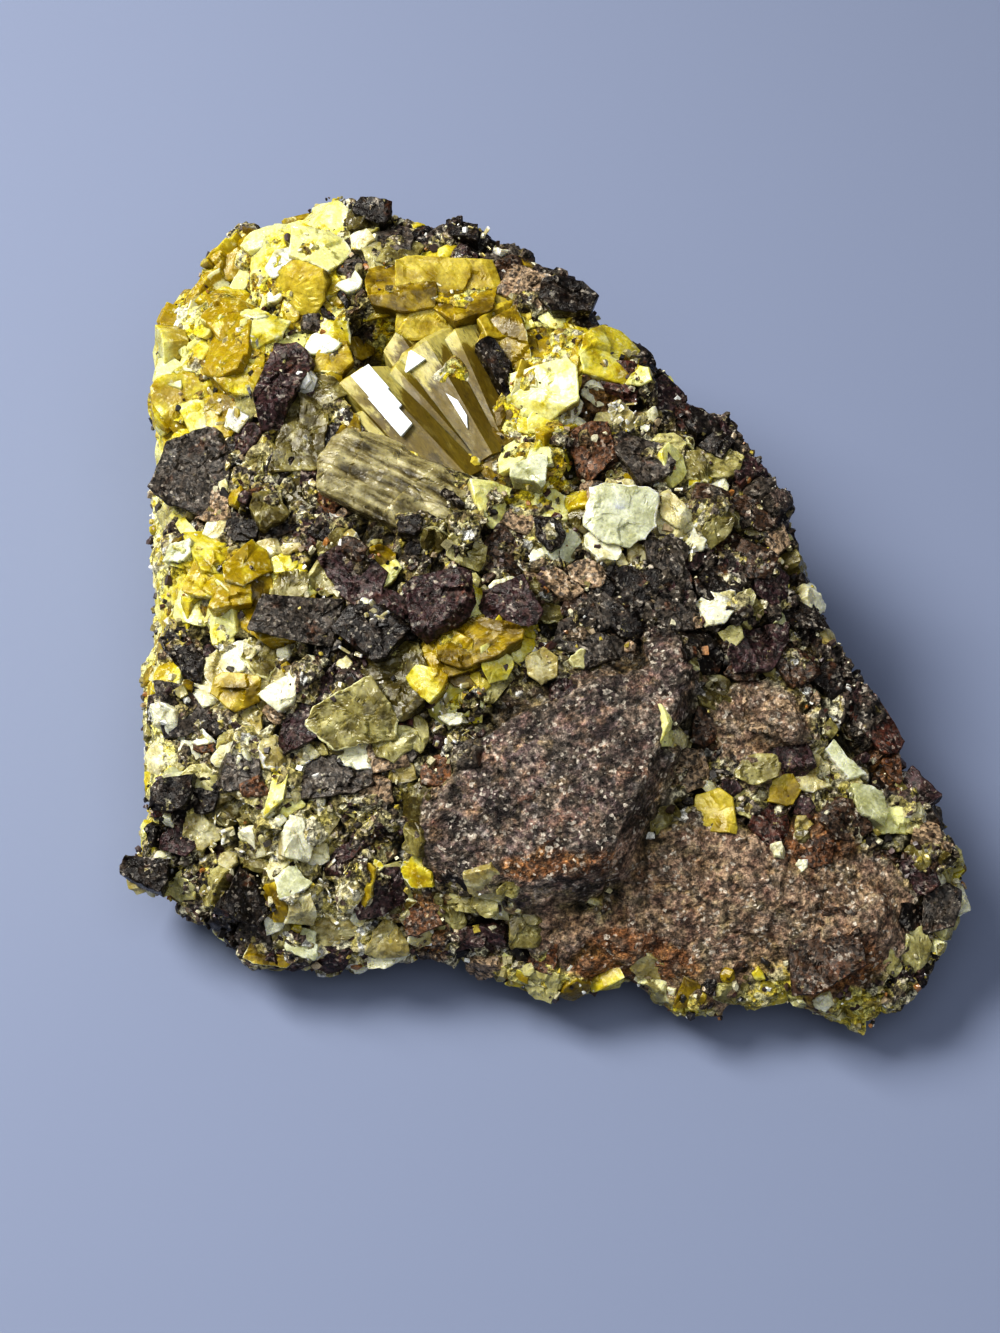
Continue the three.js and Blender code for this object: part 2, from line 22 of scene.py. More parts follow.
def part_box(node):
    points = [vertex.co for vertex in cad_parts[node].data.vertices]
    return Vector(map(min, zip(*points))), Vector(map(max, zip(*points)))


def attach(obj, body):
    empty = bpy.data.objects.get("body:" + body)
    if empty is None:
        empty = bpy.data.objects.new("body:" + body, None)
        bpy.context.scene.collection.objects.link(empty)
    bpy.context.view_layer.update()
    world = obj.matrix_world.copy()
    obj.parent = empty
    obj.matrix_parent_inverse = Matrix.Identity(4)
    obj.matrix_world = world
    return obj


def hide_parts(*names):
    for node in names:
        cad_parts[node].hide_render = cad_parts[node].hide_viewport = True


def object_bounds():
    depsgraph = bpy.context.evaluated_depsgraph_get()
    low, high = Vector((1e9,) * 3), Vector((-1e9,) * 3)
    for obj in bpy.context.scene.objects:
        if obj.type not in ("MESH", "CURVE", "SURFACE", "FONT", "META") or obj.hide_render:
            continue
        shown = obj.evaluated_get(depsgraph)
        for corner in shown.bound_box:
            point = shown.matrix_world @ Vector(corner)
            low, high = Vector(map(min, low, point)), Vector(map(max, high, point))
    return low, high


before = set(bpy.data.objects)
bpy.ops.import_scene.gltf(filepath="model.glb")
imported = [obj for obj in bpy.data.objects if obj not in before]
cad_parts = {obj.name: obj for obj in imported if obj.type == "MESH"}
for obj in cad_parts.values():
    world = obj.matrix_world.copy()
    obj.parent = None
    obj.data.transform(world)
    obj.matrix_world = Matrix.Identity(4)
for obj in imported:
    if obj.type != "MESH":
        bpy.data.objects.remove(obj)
cad_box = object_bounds()
BOX_LOW = Vector(cad_box[0])
BOX_HIGH = Vector(cad_box[1])
BOX_SIZE = BOX_HIGH - BOX_LOW
MM = 0.001

# ---- driving values
VOXEL = 0.34 * MM            # size of the rock skin's faces
GROUP_GROWTH = 0.18 * MM     # the crystal groups' solids swell by this, so that their sockets close
CLEARANCE = 0.02 * MM        # nothing but the flat break goes lower than this
SKIN_PAST_BOX = (0.6, 0.5)   # the most that the rock skin passes the box's low and high corner, in mm
PLATES_PAST_BOX = (0.9, 0.6)       # the same for all that lies on it
SINK = 0.12                  # how far the skin lies under the plates' places, in mm
PACKING = 0.86               # the least distance between plates, in sums of their radii
LEMON_PACKING = 0.62         # the same in the lemon regions, where plates meet on all sides
LEMON_GROWTH = 0.9           # how much larger the filling plates are there
RIM_WIDTH = 0.30             # width of the pale rims of the plates, in mm; on the crystals partly a painted highlight along the edges
FOOT_SHARE = 0.80            # a plate's hidden foot is this much smaller than its outline
SIDE_FACETS = 5              # facets round the flat top of a plate
CELL_CORNERS = 6             # corners of a filling plate before its neighbours cut it
RISE_KEPT = 0.22             # the share of the tables' rise that the listed plates get
FILL_TRIES = 22000           # places tried for the filling plates
FILL_RADII = (0.40, 1.50)    # the least and most radius of the filling plates, in mm, most of them small
LINING_TRIES = 2600          # the same for the plates that line the vug
LINING_RADII = (0.5, 1.8)
LINING_TINTS = {"amber": 0.70, "lemon": 0.16, "olive": 0.14}   # how often they are of each tint
VUG_SHADE_HEIGHTS = (21.0, 17.5)   # where they begin to be painted darker as shade deep in the vug, and where all of them are
GROUP_MARGIN = (0.4, 0.6)    # how far past a CAD group's box, low and high, a plate still belongs to it
SHARD_WIDTHS = (0.15, 0.45)
SHARD_LENGTHS = (0.35, 0.9)
GRAIN_SIZES = (0.14, 0.50)   # of the loose grains
CHIP_SHAPES = 16             # different shapes of loose grains
SLAB_GRAIN = 32              # bearing of the great slab's grain, in degrees
PRISM_GRAIN = -54            # the same for the streaks of the vug's great prisms
VUG_MIDDLE = (-8.6, 12.2)    # seen from above
VUG_REACH = (6.0, 8.0)       # where the vug begins to end, and ends

# ---- camera, floor and light
CAMERA_LENS = 60.0
CAMERA_SENSOR = 36.0
CAMERA_ELEVATION = 60.0      # degrees above the table
CAMERA_AIM = (0.445, 0.41, 0.40)   # the point aimed at, as shares of the box
CAMERA_DISTANCE = 2.55       # in lengths of the box
# Soft lights: the place from the box's middle, power, size and colour, with lengths in lengths of the box.
LIGHTS = {"window_key": ((-3.2, 1.2, 4.4), 1.22, 2.4, (1.0, 0.98, 0.93)),
          "overhead_soft": ((0.2, -1.8, 5.2), 0.37, 4.6, (0.93, 0.97, 1.0))}
SKY_COLOUR = (0.94, 0.95, 1.0, 1.0)
SKY_STRENGTH = 0.15
FLOOR_COLOUR = (0.232, 0.266, 0.372, 1.0)
FLOOR_SIZE = 40              # in lengths of the box


def share_of_box(x, y, z):
    return BOX_LOW + Vector((BOX_SIZE.x * x, BOX_SIZE.y * y, BOX_SIZE.z * z))


def aim(obj, target):
    obj.rotation_euler = (target - obj.location).to_track_quat("-Z", "Y").to_euler()


def placed_object(name, data):
    """A new object in the scene."""
    obj = bpy.data.objects.new(name, data)
    bpy.context.scene.collection.objects.link(obj)
    return obj


def make_camera():
    data = bpy.data.cameras.new("camera")
    data.lens = CAMERA_LENS
    data.sensor_width = CAMERA_SENSOR
    data.clip_start = 0.01
    camera = placed_object("camera", data)
    target = share_of_box(*CAMERA_AIM)
    tilt = math.radians(CAMERA_ELEVATION)
    away = Vector((0.0, -math.cos(tilt), math.sin(tilt)))
    camera.location = target + away * CAMERA_DISTANCE * BOX_SIZE.y
    aim(camera, target)
    bpy.context.scene.camera = camera


def make_lights():
    world = bpy.data.worlds.new("studio")
    world.use_nodes = True
    background = world.node_tree.nodes["Background"]
    background.inputs["Color"].default_value = SKY_COLOUR
    background.inputs["Strength"].default_value = SKY_STRENGTH
    bpy.context.scene.world = world
    middle = share_of_box(0.5, 0.5, 0.3)
    for name, (place, power, size, colour) in LIGHTS.items():
        data = bpy.data.lights.new(name, "AREA")
        data.energy = power
        data.size = size * BOX_SIZE.y
        data.color = colour
        light = placed_object(name, data)
        light.location = middle + Vector(place) * BOX_SIZE.y
        aim(light, middle)


def make_floor():
    bpy.ops.mesh.primitive_plane_add(size=FLOOR_SIZE * BOX_SIZE.y, location=(0, 0, BOX_LOW.z))
    floor = bpy.context.object
    floor.name = "floor"
    material = bpy.data.materials.new("floor_paper")
    material.use_nodes = True
    shader = material.node_tree.nodes["Principled BSDF"]
    shader.inputs["Base Color"].default_value = FLOOR_COLOUR
    shader.inputs["Roughness"].default_value = 0.8
    floor.data.materials.append(material)


def make_studio():
    make_camera()
    make_lights()
    make_floor()
    bpy.context.scene.view_settings.view_transform = "Standard"
    bpy.context.scene.view_settings.look = "High Contrast"


# ---- noise, worked out for whole arrays of points
def hash01(cells, salt):
    """A fixed random number in 0..1 for each whole-number cell."""
    x, y, z = (cells[..., k].astype(np.int64).astype(np.uint64) for k in range(3))
    h = (x * np.uint64(73856093)) ^ (y * np.uint64(19349663)) ^ (z * np.uint64(83492791))
    h ^= np.uint64((salt * 2654435761 + 12345) & 0xFFFFFFFF)
    h &= np.uint64(0xFFFFFFFF)
    h = ((h ^ (h >> np.uint64(15))) * np.uint64(2246822519)) & np.uint64(0xFFFFFFFF)
    h = ((h ^ (h >> np.uint64(13))) * np.uint64(3266489917)) & np.uint64(0xFFFFFFFF)
    h ^= h >> np.uint64(16)
    return h.astype(np.float64) / 4294967295.0


def smooth_noise(points, size, salt=0):
    """Smooth noise in -1..1 with features of about size."""
    q = points / size
    cell = np.floor(q).astype(np.int64)
    f = q - cell
    f = f * f * (3 - 2 * f)
    total = np.zeros(len(points))
    for corner in np.ndindex(2, 2, 2):
        weight = np.ones(len(points))
        for k in range(3):
            weight = weight * (f[:, k] if corner[k] else 1 - f[:, k])
        total += weight * hash01(cell + np.array(corner), salt)
    return total * 2 - 1


def rough_noise(points, size, salt=0, octaves=3):
    total = 0
    for k in range(octaves):
        total = total + smooth_noise(points, size * 0.5 ** k, salt + 17 * k) * 0.5 ** k
    return total / (2 - 0.5 ** (octaves - 1))


def fragments(points, size, salt):
    """The broken pieces that points fall in: (a number in 0..1 for the piece, three more as its tilt, the
    way from its middle, the distance to its border as a share of size)."""
    q = points / size
    base = np.floor(q).astype(np.int64)
    nearest = np.full(len(points), 9.0)
    second = np.full(len(points), 9.0)
    cell_of = np.zeros((len(points), 3), dtype=np.int64)
    middle_of = np.zeros((len(points), 3))
    for offset in np.ndindex(3, 3, 3):
        cell = base + np.array(offset) - 1
        middle = cell + 0.5 + 0.85 * (np.stack([hash01(cell, salt + k) for k in range(3)], axis=1) - 0.5)
        distance = np.linalg.norm(q - middle, axis=1)
        closer = distance < nearest
        second = np.where(closer, nearest, np.minimum(second, distance))
        nearest = np.where(closer, distance, nearest)
        cell_of[closer] = cell[closer]
        middle_of[closer] = middle[closer]
    number = hash01(cell_of, salt + 9)
    tilt = np.stack([hash01(cell_of, salt + 10 + k) for k in range(3)], axis=1) * 2 - 1
    return number, tilt, (q - middle_of) * size, second - nearest


def step(low, high, values):
    t = np.clip((values - low) / (high - low), 0, 1)
    return t * t * (3 - 2 * t)


# ---- regions, seen from above
# Ovals: x, y, length, width, bearing of the long side in degrees. Noise makes their edges ragged.
REGIONS = {
    "seam": [
        (0.6, -28.6, 11, 4.6, 0), (9, -29.8, 9, 4.2, -5), (14.8, -29.4, 8, 4.2, 8),
        (20.6, -30.4, 9, 3.8, -25), (-5.6, -28.4, 6, 2.8, 0)],
    "vein": [
        (-28.4, -1.5, 28, 3.4, 90), (-27.2, -15, 8, 3, 80), (-27.8, 13, 9, 2.8, 86),
        (-25.6, 19.4, 7.5, 2.2, 58), (-21.8, 23.8, 8, 2, 48), (-18.6, 26.4, 5, 1.6, 36)],
    "liver": [
        (1, -17.6, 17, 12.5, 33), (5.6, -12.6, 12, 8, 40), (-4.5, -20, 9, 7.5, 30)],
    "tan": [
        (12.5, -23.6, 18, 9, -8), (20, -24.5, 10, 8.5, 20), (9, -27, 12, 5, -5), (14.6, -13.4, 7, 7, 0),
        (3, -25.6, 12, 3, -5)],
    "rust": [
        (5.6, -26.6, 9.5, 2.6, -6), (17.6, -20.6, 5.6, 3.4, 10), (23.6, -14.6, 3, 2.6, -60),
        (-8.6, -24.4, 3, 3, 0), (19.6, -27.6, 6.4, 3, 20), (0.4, -22.4, 8, 1.4, 8), (3.2, 5, 3.2, 3.4, 0),
        (4.4, 10.2, 3.4, 3, 0)],
    "hollow": [
        (-8.2, 12.4, 13.6, 14.6, 0), (-4.4, 4.6, 7, 6, -50), (-8, 5, 7, 3.4, -45)],
    "lemon": [
        (-22, 18.5, 15, 15, 30), (-20, 23.6, 10, 8, 30), (-25, 12.6, 7, 7, 90), (-17.6, 18.6, 6, 8, 0),
        (-22.4, -3, 11, 6, -8), (-5.6, -9.6, 8, 4.6, 25), (-8.6, -10, 5, 4, -20), (-1, 3.6, 6, 4.4, -10),
        (-0.4, 9, 4, 5, 0), (2.6, 13, 9, 4.6, -20), (-7, 12, 14, 14, 0), (-6.8, 17.6, 8, 4, 0)],
    "cream": [
        (-20, -16, 5, 8, -20), (-18, -21, 6, 6, 0), (5.4, 0.2, 6, 3.2, 0), (9.4, 0.4, 5, 3, -20),
        (12.6, -5.2, 4, 2.6, 0), (-24.6, -0.4, 4, 5, 90), (-13.8, -12.8, 6, 4, -20),
        (4.6, 9.6, 4.6, 2.2, -30), (-0.8, -0.4, 6, 3.4, -30), (-17.6, 6.6, 4.6, 6, 90),
        (20.2, -15.4, 5, 2.4, -30), (-1, -24.4, 8, 2.4, -5), (-20.8, -10.4, 4.6, 4, 0),
        (24, -18.2, 4, 3.4, -50), (-22, -19.4, 4, 4, 0), (-18, -17, 10, 7, -30), (-14, -25, 9, 4, -10),
        (-19.5, -7, 6, 5, 0)],
    "olive": [
        (-9, 2.6, 12, 6.4, -28), (10.6, 5.4, 2.4, 4.4, 0), (11.8, 0.2, 2.4, 3.6, 0),
        (-3.6, -24.2, 5, 2.2, 0), (14.2, -16.2, 4, 3.4, 0), (-10.4, 22.2, 7, 3, -10), (-14, -13, 5, 5, 0),
        (-8.4, -22, 3.4, 3, 0), (-19.4, -21, 3.6, 3, 0)],
    "dark": [
        (12.6, 8.8, 18, 5, -51), (17.5, 1, 14, 4.4, -55), (8.8, -5.8, 16, 6.4, -12),
        (22.6, -9, 12, 3.6, -64), (3, 17, 16, 3.4, -48), (-4, 23, 14, 2.6, -22), (22.4, -12.6, 3, 9, 15),
        (19, -4, 4, 14, 25), (11.8, -3.4, 5, 4, 0), (-12.6, -9, 5, 5, 0), (7.6, -6.6, 10, 5, -20),
        (-25.2, -18, 4, 4, 0), (-20.6, -24, 4, 3, 0), (-17, 26, 7, 3, -30)],
}
EDGE_DRIFT = 1.6             # how far noise moves the regions' edges, in mm
# How much of the rock's broken relief each region keeps.
RELIEF_OF = {"liver": 0.14, "tan": 0.2, "lemon": 0.55, "hollow": 0.3, "dark": 1.15, "seam": 0.5,
             "vein": 0.4}


def turned(x, y, bearing):
    """Plan coordinates along a bearing in degrees, and across it."""
    turn = math.radians(bearing)
    return x * math.cos(turn) + y * math.sin(turn), y * math.cos(turn) - x * math.sin(turn)


def in_plan(bearing):
    """The level direction at a bearing in degrees."""
    turn = math.radians(bearing)
    return np.array((math.cos(turn), math.sin(turn), 0.0))


def region_masks(mm):
    """For each region, 0..1 for each point: how much it lies in the region."""
    flat = mm * (1.0, 1.0, 0.0)
    x = mm[:, 0] + rough_noise(flat, 3.0, 301) * EDGE_DRIFT
    y = mm[:, 1] + rough_noise(flat, 3.0, 331) * EDGE_DRIFT
    masks = {name: np.zeros(len(mm)) for name in REGIONS}
    for name, ovals in REGIONS.items():
        for centre_x, centre_y, length, width, bearing in ovals:
            along, across = turned(x - centre_x, y - centre_y, bearing)
            distance = np.hypot(along / (length / 2), across / (width / 2))
            masks[name] = np.maximum(masks[name], 1 - step(0.85, 1.15, distance))
    return masks


# ---- meshes from arrays
def mesh_object(name, vertices, faces, materials, numbers, attributes):
    """faces: (n, k) arrays of vertex numbers. numbers: the number of each array's material.
    attributes: (name, value for each vertex)."""
    mesh = bpy.data.meshes.new(name)
    mesh.vertices.add(len(vertices))
    mesh.vertices.foreach_set("co", np.asarray(vertices, dtype=np.float32).ravel())
    loops = np.concatenate([block.ravel() for block in faces]).astype(np.int32)
    sizes = np.concatenate([np.full(len(block), block.shape[1]) for block in faces]).astype(np.int32)
    of_face = np.concatenate([np.full(len(block), number) for block, number in zip(faces, numbers)])
    mesh.loops.add(len(loops))
    mesh.loops.foreach_set("vertex_index", loops)
    mesh.polygons.add(len(sizes))
    mesh.polygons.foreach_set("loop_start", (np.cumsum(sizes) - sizes).astype(np.int32))
    mesh.polygons.foreach_set("loop_total", sizes)
    mesh.polygons.foreach_set("use_smooth", np.zeros(len(sizes), dtype=bool))
    for material in materials:
        mesh.materials.append(material)
    mesh.polygons.foreach_set("material_index", of_face.astype(np.int32))
    for label, values in attributes:
        attribute = mesh.attributes.new(label, "FLOAT", "POINT")
        attribute.data.foreach_set("value", np.asarray(values, dtype=np.float32))
    mesh.update(calc_edges=True)
    mesh.validate()
    obj = placed_object(name, mesh)
    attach(obj, "root")
    return obj


def arrays_of(mesh):
    vertices = np.empty(len(mesh.vertices) * 3)
    mesh.vertices.foreach_get("co", vertices)
    quads = np.array([tuple(p.vertices) for p in mesh.polygons if len(p.vertices) == 4])
    return vertices.reshape(-1, 3), quads


def corner_normals(vertices, quads):
    """A smooth normal for each vertex."""
    a, b, c, d = (vertices[quads[:, k]] for k in range(4))
    face = np.cross(c - a, d - b)
    normals = np.zeros_like(vertices)
    for k in range(4):
        np.add.at(normals, quads[:, k], face)
    return normals / np.maximum(np.linalg.norm(normals, axis=1, keepdims=True), 1e-12)


def smoothed(values, quads, rounds):
    """Values with three columns, averaged with their neighbours' again and again."""
    here, there = quads.ravel(), np.roll(quads, -1, axis=1).ravel()
    count = len(values)
    degree = np.bincount(here, minlength=count) + np.bincount(there, minlength=count)
    for _ in range(rounds):
        total = [np.bincount(here, values[there, k], count) + np.bincount(there, values[here, k], count)
                 for k in range(3)]
        values = np.stack(total, axis=1) / degree[:, None]
    return values


def ridges_and_hollows(vertices, quads, normals):
    """For each vertex, in mm: how far it stands out from its close surroundings, and how far it lies below
    the wider ones."""
    close = smoothed(vertices, quads, 3)
    wide = smoothed(close, quads, 30)
    ridge = ((vertices - close) * normals).sum(axis=1) / MM
    hollow = ((wide - vertices) * normals).sum(axis=1) / MM
    return ridge, hollow


# ---- the rock skin
def united_solids():
    """All the CAD solids as one mesh, with the crystal groups swollen a little into their sockets."""
    whole = bmesh.new()
    for name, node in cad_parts.items():
        part = bmesh.new()
        part.from_mesh(node.data)
        bmesh.ops.remove_doubles(part, verts=part.verts, dist=0.002 * MM)
        bmesh.ops.recalc_face_normals(part, faces=part.faces)
        if name != "goethite_matrix":
            part.normal_update()
            for vertex in part.verts:
                vertex.co += vertex.normal * GROUP_GROWTH
        scratch = bpy.data.meshes.new("scratch")
        part.to_mesh(scratch)
        part.free()
        whole.from_mesh(scratch)
    mesh = bpy.data.meshes.new("united")
    whole.to_mesh(mesh)
    whole.free()
    return mesh


def voxel_skin(mesh, size):
    obj = placed_object("united", mesh)
    modifier = obj.modifiers.new("voxels", "REMESH")
    modifier.mode = "VOXEL"
    modifier.voxel_size = size
    evaluated = obj.evaluated_get(bpy.context.evaluated_depsgraph_get())
    vertices, quads = arrays_of(evaluated.to_mesh())
    bpy.data.objects.remove(obj)
    return vertices, quads


def outer_shell(vertices, quads):
    """Keeps the largest connected skin, so that no sealed bubble is left inside."""
    label = np.arange(len(vertices))
    edges = np.concatenate([quads[:, [k, (k + 1) % 4]] for k in range(4)])
    while True:
        lower = np.minimum(label[edges[:, 0]], label[edges[:, 1]])
        before = label.copy()
        np.minimum.at(label, edges[:, 0], lower)
        np.minimum.at(label, edges[:, 1], lower)
        label = label[label]
        if np.array_equal(before, label):
            break
    names, counts = np.unique(label, return_counts=True)
    kept = label == names[np.argmax(counts)]
    renumbered = np.cumsum(kept) - 1
    return vertices[kept], renumbered[quads[kept[quads[:, 0]]]]


# The rock's broken pieces, large to small: size, salt, how far noise warps them, height of their steps,
# slope of their tops, depth of the grooves between them, and the grooves' width as a share of the size.
BREAKS = [(3.1, 3, 0.5, 1.3, 0.38, 0.75, 0.16), (1.15, 77, 0.5, 0.5, 0.35, 0.22, 0.20),
          (0.62, 177, 0.0, 0.16, 0.25, 0.0, 0.20)]


def broken_relief(mm):
    """How far the rock's broken pieces stand out at each point, in mm."""
    drift = np.stack([rough_noise(mm, 1.6, 51 + k, 2) for k in range(3)], axis=1)
    rise = np.zeros(len(mm))
    for size, salt, warp, height, slope, groove, width in BREAKS:
        number, tilt, away, border = fragments(mm + warp * drift, size, salt)
        rise += (number - 0.5) * height + (tilt * away).sum(axis=1) * slope
        rise -= groove * (1 - step(0.0, width, border))
    return np.clip(rise, -1.5, 1.0)


def make_rock_skin():
    """The displaced skin with its masks: what everything else stands on."""
    vertices, quads = outer_shell(*voxel_skin(united_solids(), VOXEL))
    mm = vertices / MM
    normals = corner_normals(vertices, quads)
    masks = region_masks(mm)
    in_vug = 1 - step(*VUG_REACH, np.hypot(mm[:, 0] - VUG_MIDDLE[0], (mm[:, 1] - VUG_MIDDLE[1]) * 1.1))
    calm = np.maximum(masks["liver"], masks["tan"]) * (1 - masks["seam"])
    plated = (1 - calm) * step(0.6, 3.0, mm[:, 2])
    relief = np.ones(len(mm))
    for name, kept in RELIEF_OF.items():
        relief = relief * (1 + (kept - 1) * masks[name])
    relief *= (1 - 0.35 * plated) * step(0.1, 1.6, mm[:, 2])
    rise = broken_relief(mm) * relief + rough_noise(mm, 0.8, 91, 2) * 0.06 - SINK * plated
    low, high = np.array(BOX_LOW), np.array(BOX_HIGH)
    moved = vertices + normals * (rise * MM)[:, None]
    moved = np.clip(moved, low - SKIN_PAST_BOX[0] * MM, high + SKIN_PAST_BOX[1] * MM)
    moved[:, 2] = np.where(mm[:, 2] < 0.12, low[2], np.maximum(moved[:, 2], low[2]))
    ridge, sunk = ridges_and_hollows(moved, quads, corner_normals(moved, quads))
    along, across = turned(mm[:, 0] - MASS_MIDDLE[0], mm[:, 1] - MASS_MIDDLE[1], MASS_BEARING)
    off_mass = step(0.85, 1.0, np.hypot(along / MASS_REACH[0], across / MASS_REACH[1]))
    plated = plated * (1 - in_vug) * off_mass * step(0.93, 0.55, masks["liver"])
    plated = plated * step(-0.9, -0.4, normals[:, 2])
    corners = vertices[quads]
    diagonals = np.cross(corners[:, 2] - corners[:, 0], corners[:, 3] - corners[:, 1])
    return SimpleNamespace(vertices=moved, quads=quads, masks=masks, in_vug=in_vug, plated=plated,
                           ridge=ridge, sunk=sunk, surface=vertices,
                           normals=unit(smoothed(normals, quads, 10)),
                           tree=BVHTree.FromPolygons(vertices.tolist(), quads.tolist()),
                           area=np.linalg.norm(diagonals, axis=1) / 2)


def seen_from_above(tree, x, y):
    """Where a ray from above meets the shapes in tree at plan position (x, y) in mm: (point, normal)."""
    return tree.ray_cast(Vector((x * MM, y * MM, 1.0)), Vector((0, 0, -1)))[:2]


def scattered(rock, weight, count, rng):
    """count places on the rock, picked by area times weight (one value for each vertex)."""
    chance = rock.area * weight[rock.quads].mean(axis=1)
    picked = rng.choice(len(rock.quads), size=count, p=chance / chance.sum())
    share = rng.dirichlet(np.ones(4), count)
    corners = rock.quads[picked]
    points = (rock.surface[corners] * share[..., None]).sum(axis=1)
    return points, unit(rock.normals[corners].mean(axis=1)), corners[:, 0]


# ---- shapes as arrays
def unit(vectors):
    return vectors / np.maximum(np.linalg.norm(vectors, axis=-1, keepdims=True), 1e-12)


def square_to(axes, helper):
    """Directions as near to helper as can be, at right angles to axes."""
    return unit(helper - (helper * axes).sum(axis=-1, keepdims=True) * axes)


def mostly_small(count, low, high, power, rng):
    """count random sizes between low and high, the more of them small the higher the power."""
    return low + (high - low) * rng.uniform(0, 1, count) ** power


def frames_for(axes, rng, bearing=None):
    """Three directions for each crystal: two across and one along its axis."""
    if bearing is None:
        helper = unit(rng.normal(size=axes.shape))
    else:
        helper = np.stack([np.cos(bearing), np.sin(bearing), np.zeros(len(axes))], axis=1)
    across = square_to(axes, helper)
    return across, np.cross(axes, across), axes


def broken_block(rng):
    """A convex chip, 1 across, cut by planes at random slopes: (corners, triangles)."""
    block = bmesh.new()
    bmesh.ops.create_cube(block, size=1.0)
    for _ in range(rng.integers(3, 6)):
        slope = Vector(rng.normal(size=3)).normalized()
        everything = block.verts[:] + block.edges[:] + block.faces[:]
        cut = bmesh.ops.bisect_plane(block, geom=everything, plane_co=slope * rng.uniform(0.36, 0.52),
                                     plane_no=slope, clear_outer=True)
        if any(isinstance(item, bmesh.types.BMEdge) for item in cut["geom_cut"]):
            bmesh.ops.holes_fill(block, edges=block.edges[:], sides=0)
    bmesh.ops.remove_doubles(block, verts=block.verts[:], dist=0.04)
    bmesh.ops.recalc_face_normals(block, faces=block.faces[:])
    bmesh.ops.triangulate(block, faces=block.faces[:])
    block.verts.index_update()
    corners = np.array([tuple(vertex.co) for vertex in block.verts])
    triangles = np.array([[vertex.index for vertex in face.verts] for face in block.faces])
    block.free()
    middle = (corners.max(axis=0) + corners.min(axis=0)) / 2
    return (corners - middle) / np.ptp(corners, axis=0), triangles


def chips(points, axes, sizes, rng):
    """A small broken block at each point, with three sizes for each and its third side along axes."""
    across, sideways, along = frames_for(axes, rng)
    tone = rng.uniform(0, 1, len(points))
    shapes = [broken_block(np.random.default_rng(seed)) for seed in range(CHIP_SHAPES)]
    picks = rng.integers(len(shapes), size=len(points))
    parts = []
    for number, (corners, triangles) in enumerate(shapes):
        mine = np.flatnonzero(picks == number)
        local = corners[None] * sizes[mine][:, None, :]
        vertices = (points[mine][:, None] + local[..., :1] * across[mine][:, None]
                    + local[..., 1:2] * sideways[mine][:, None] + local[..., 2:] * along[mine][:, None])
        faces = triangles[None] + (np.arange(len(mine)) * len(corners))[:, None, None]
        tones = np.repeat(tone[mine], len(corners))
        parts.append({"vertices": vertices.reshape(-1, 3), "faces": [faces.reshape(-1, 3)], "tone": tones,
                      "rim": np.zeros(len(tones)), "tip": np.ones(len(tones))})
    return joined(parts)


def six_sided(count, rng, uneven):
    """Corners (count, 6, 2) of six-sided outlines about 1 across, with flat sides at uneven distances."""
    distance = 0.5 * (1 + uneven * rng.uniform(-1, 1, (count, 6)))
    turn = np.arange(6) * math.pi / 3
    following = np.roll(distance, -1, axis=1)
    next_turn = turn + math.pi / 3
    x = (distance * np.sin(next_turn) - following * np.sin(turn)) / math.sin(math.pi / 3)
    y = (following * np.cos(turn) - distance * np.cos(next_turn)) / math.sin(math.pi / 3)
    return np.stack([x, y], axis=2)


def prisms(feet, axes, widths, lengths, rng, tone=None, bearing=None, uneven=0.18, taper=0.9, bevel=0.14,
           slant=0.25, flat=1.0):
    """Six-sided crystals. bevel is the width of the cut round the end, in widths; slant is how far the end
    leans, and flat squeezes the outline."""
    count = len(feet)
    outline = six_sided(count, rng, uneven)
    outline[:, :, 1] *= flat
    across, sideways, along = frames_for(axes, rng, bearing)
    tone = rng.uniform(0, 1, count) if tone is None else np.array(tone)
    slope = rng.uniform(-slant, slant, (count, 2))
    rings = []
    heights = [np.zeros(count), 0.55 * lengths, lengths - bevel * widths * 0.8, lengths]
    scales = [0.92 * taper, 1.0, taper, taper - 2 * bevel]
    for level, (height, scale) in enumerate(zip(heights, scales)):
        ring = outline * (scale * widths)[:, None, None]
        rise = height[:, None] + (ring @ slope[:, :, None])[..., 0] * (level >= 2)
        rings.append(feet[:, None, :] + ring[..., :1] * across[:, None] + ring[..., 1:] * sideways[:, None]
                     + rise[..., None] * along[:, None])
    start = (np.arange(count) * 24)[:, None]
    sides = []
    for low in (0, 6, 12):
        for side in range(6):
            after = (side + 1) % 6
            sides.append(start + low + np.array([side, after, 6 + after, 6 + side]))
    caps = [start + np.array([5, 4, 3, 2, 1, 0]), start + 18 + np.arange(6)]
    by_ring = {"tip": [0.0, 0.45, 0.9, 1.0], "rim": [0.0, 0.3, 1.0, 0.6]}
    return {"vertices": np.stack(rings, axis=1).reshape(count * 24, 3), "tone": np.repeat(tone, 24),
            "faces": [np.concatenate(sides), np.concatenate(caps)],
            **{key: np.tile(np.repeat(values, 6), count) for key, values in by_ring.items()}}


def joined(parts):
    """Several sets of arrays as one."""
    faces, offset = [], 0
    for part in parts:
        faces += [block + offset for block in part["faces"]]
        offset += len(part["vertices"])
    whole = {key: np.concatenate([part[key] for part in parts]) for key in ("vertices", "tone", "tip", "rim")}
    whole["faces"] = faces
    return whole


def within_box(vertices):
    low, high = PLATES_PAST_BOX
    inside = np.clip(vertices, np.array(BOX_LOW) - low * MM, np.array(BOX_HIGH) + high * MM)
    inside[:, 2] = np.maximum(inside[:, 2], BOX_LOW.z + CLEARANCE)
    return inside


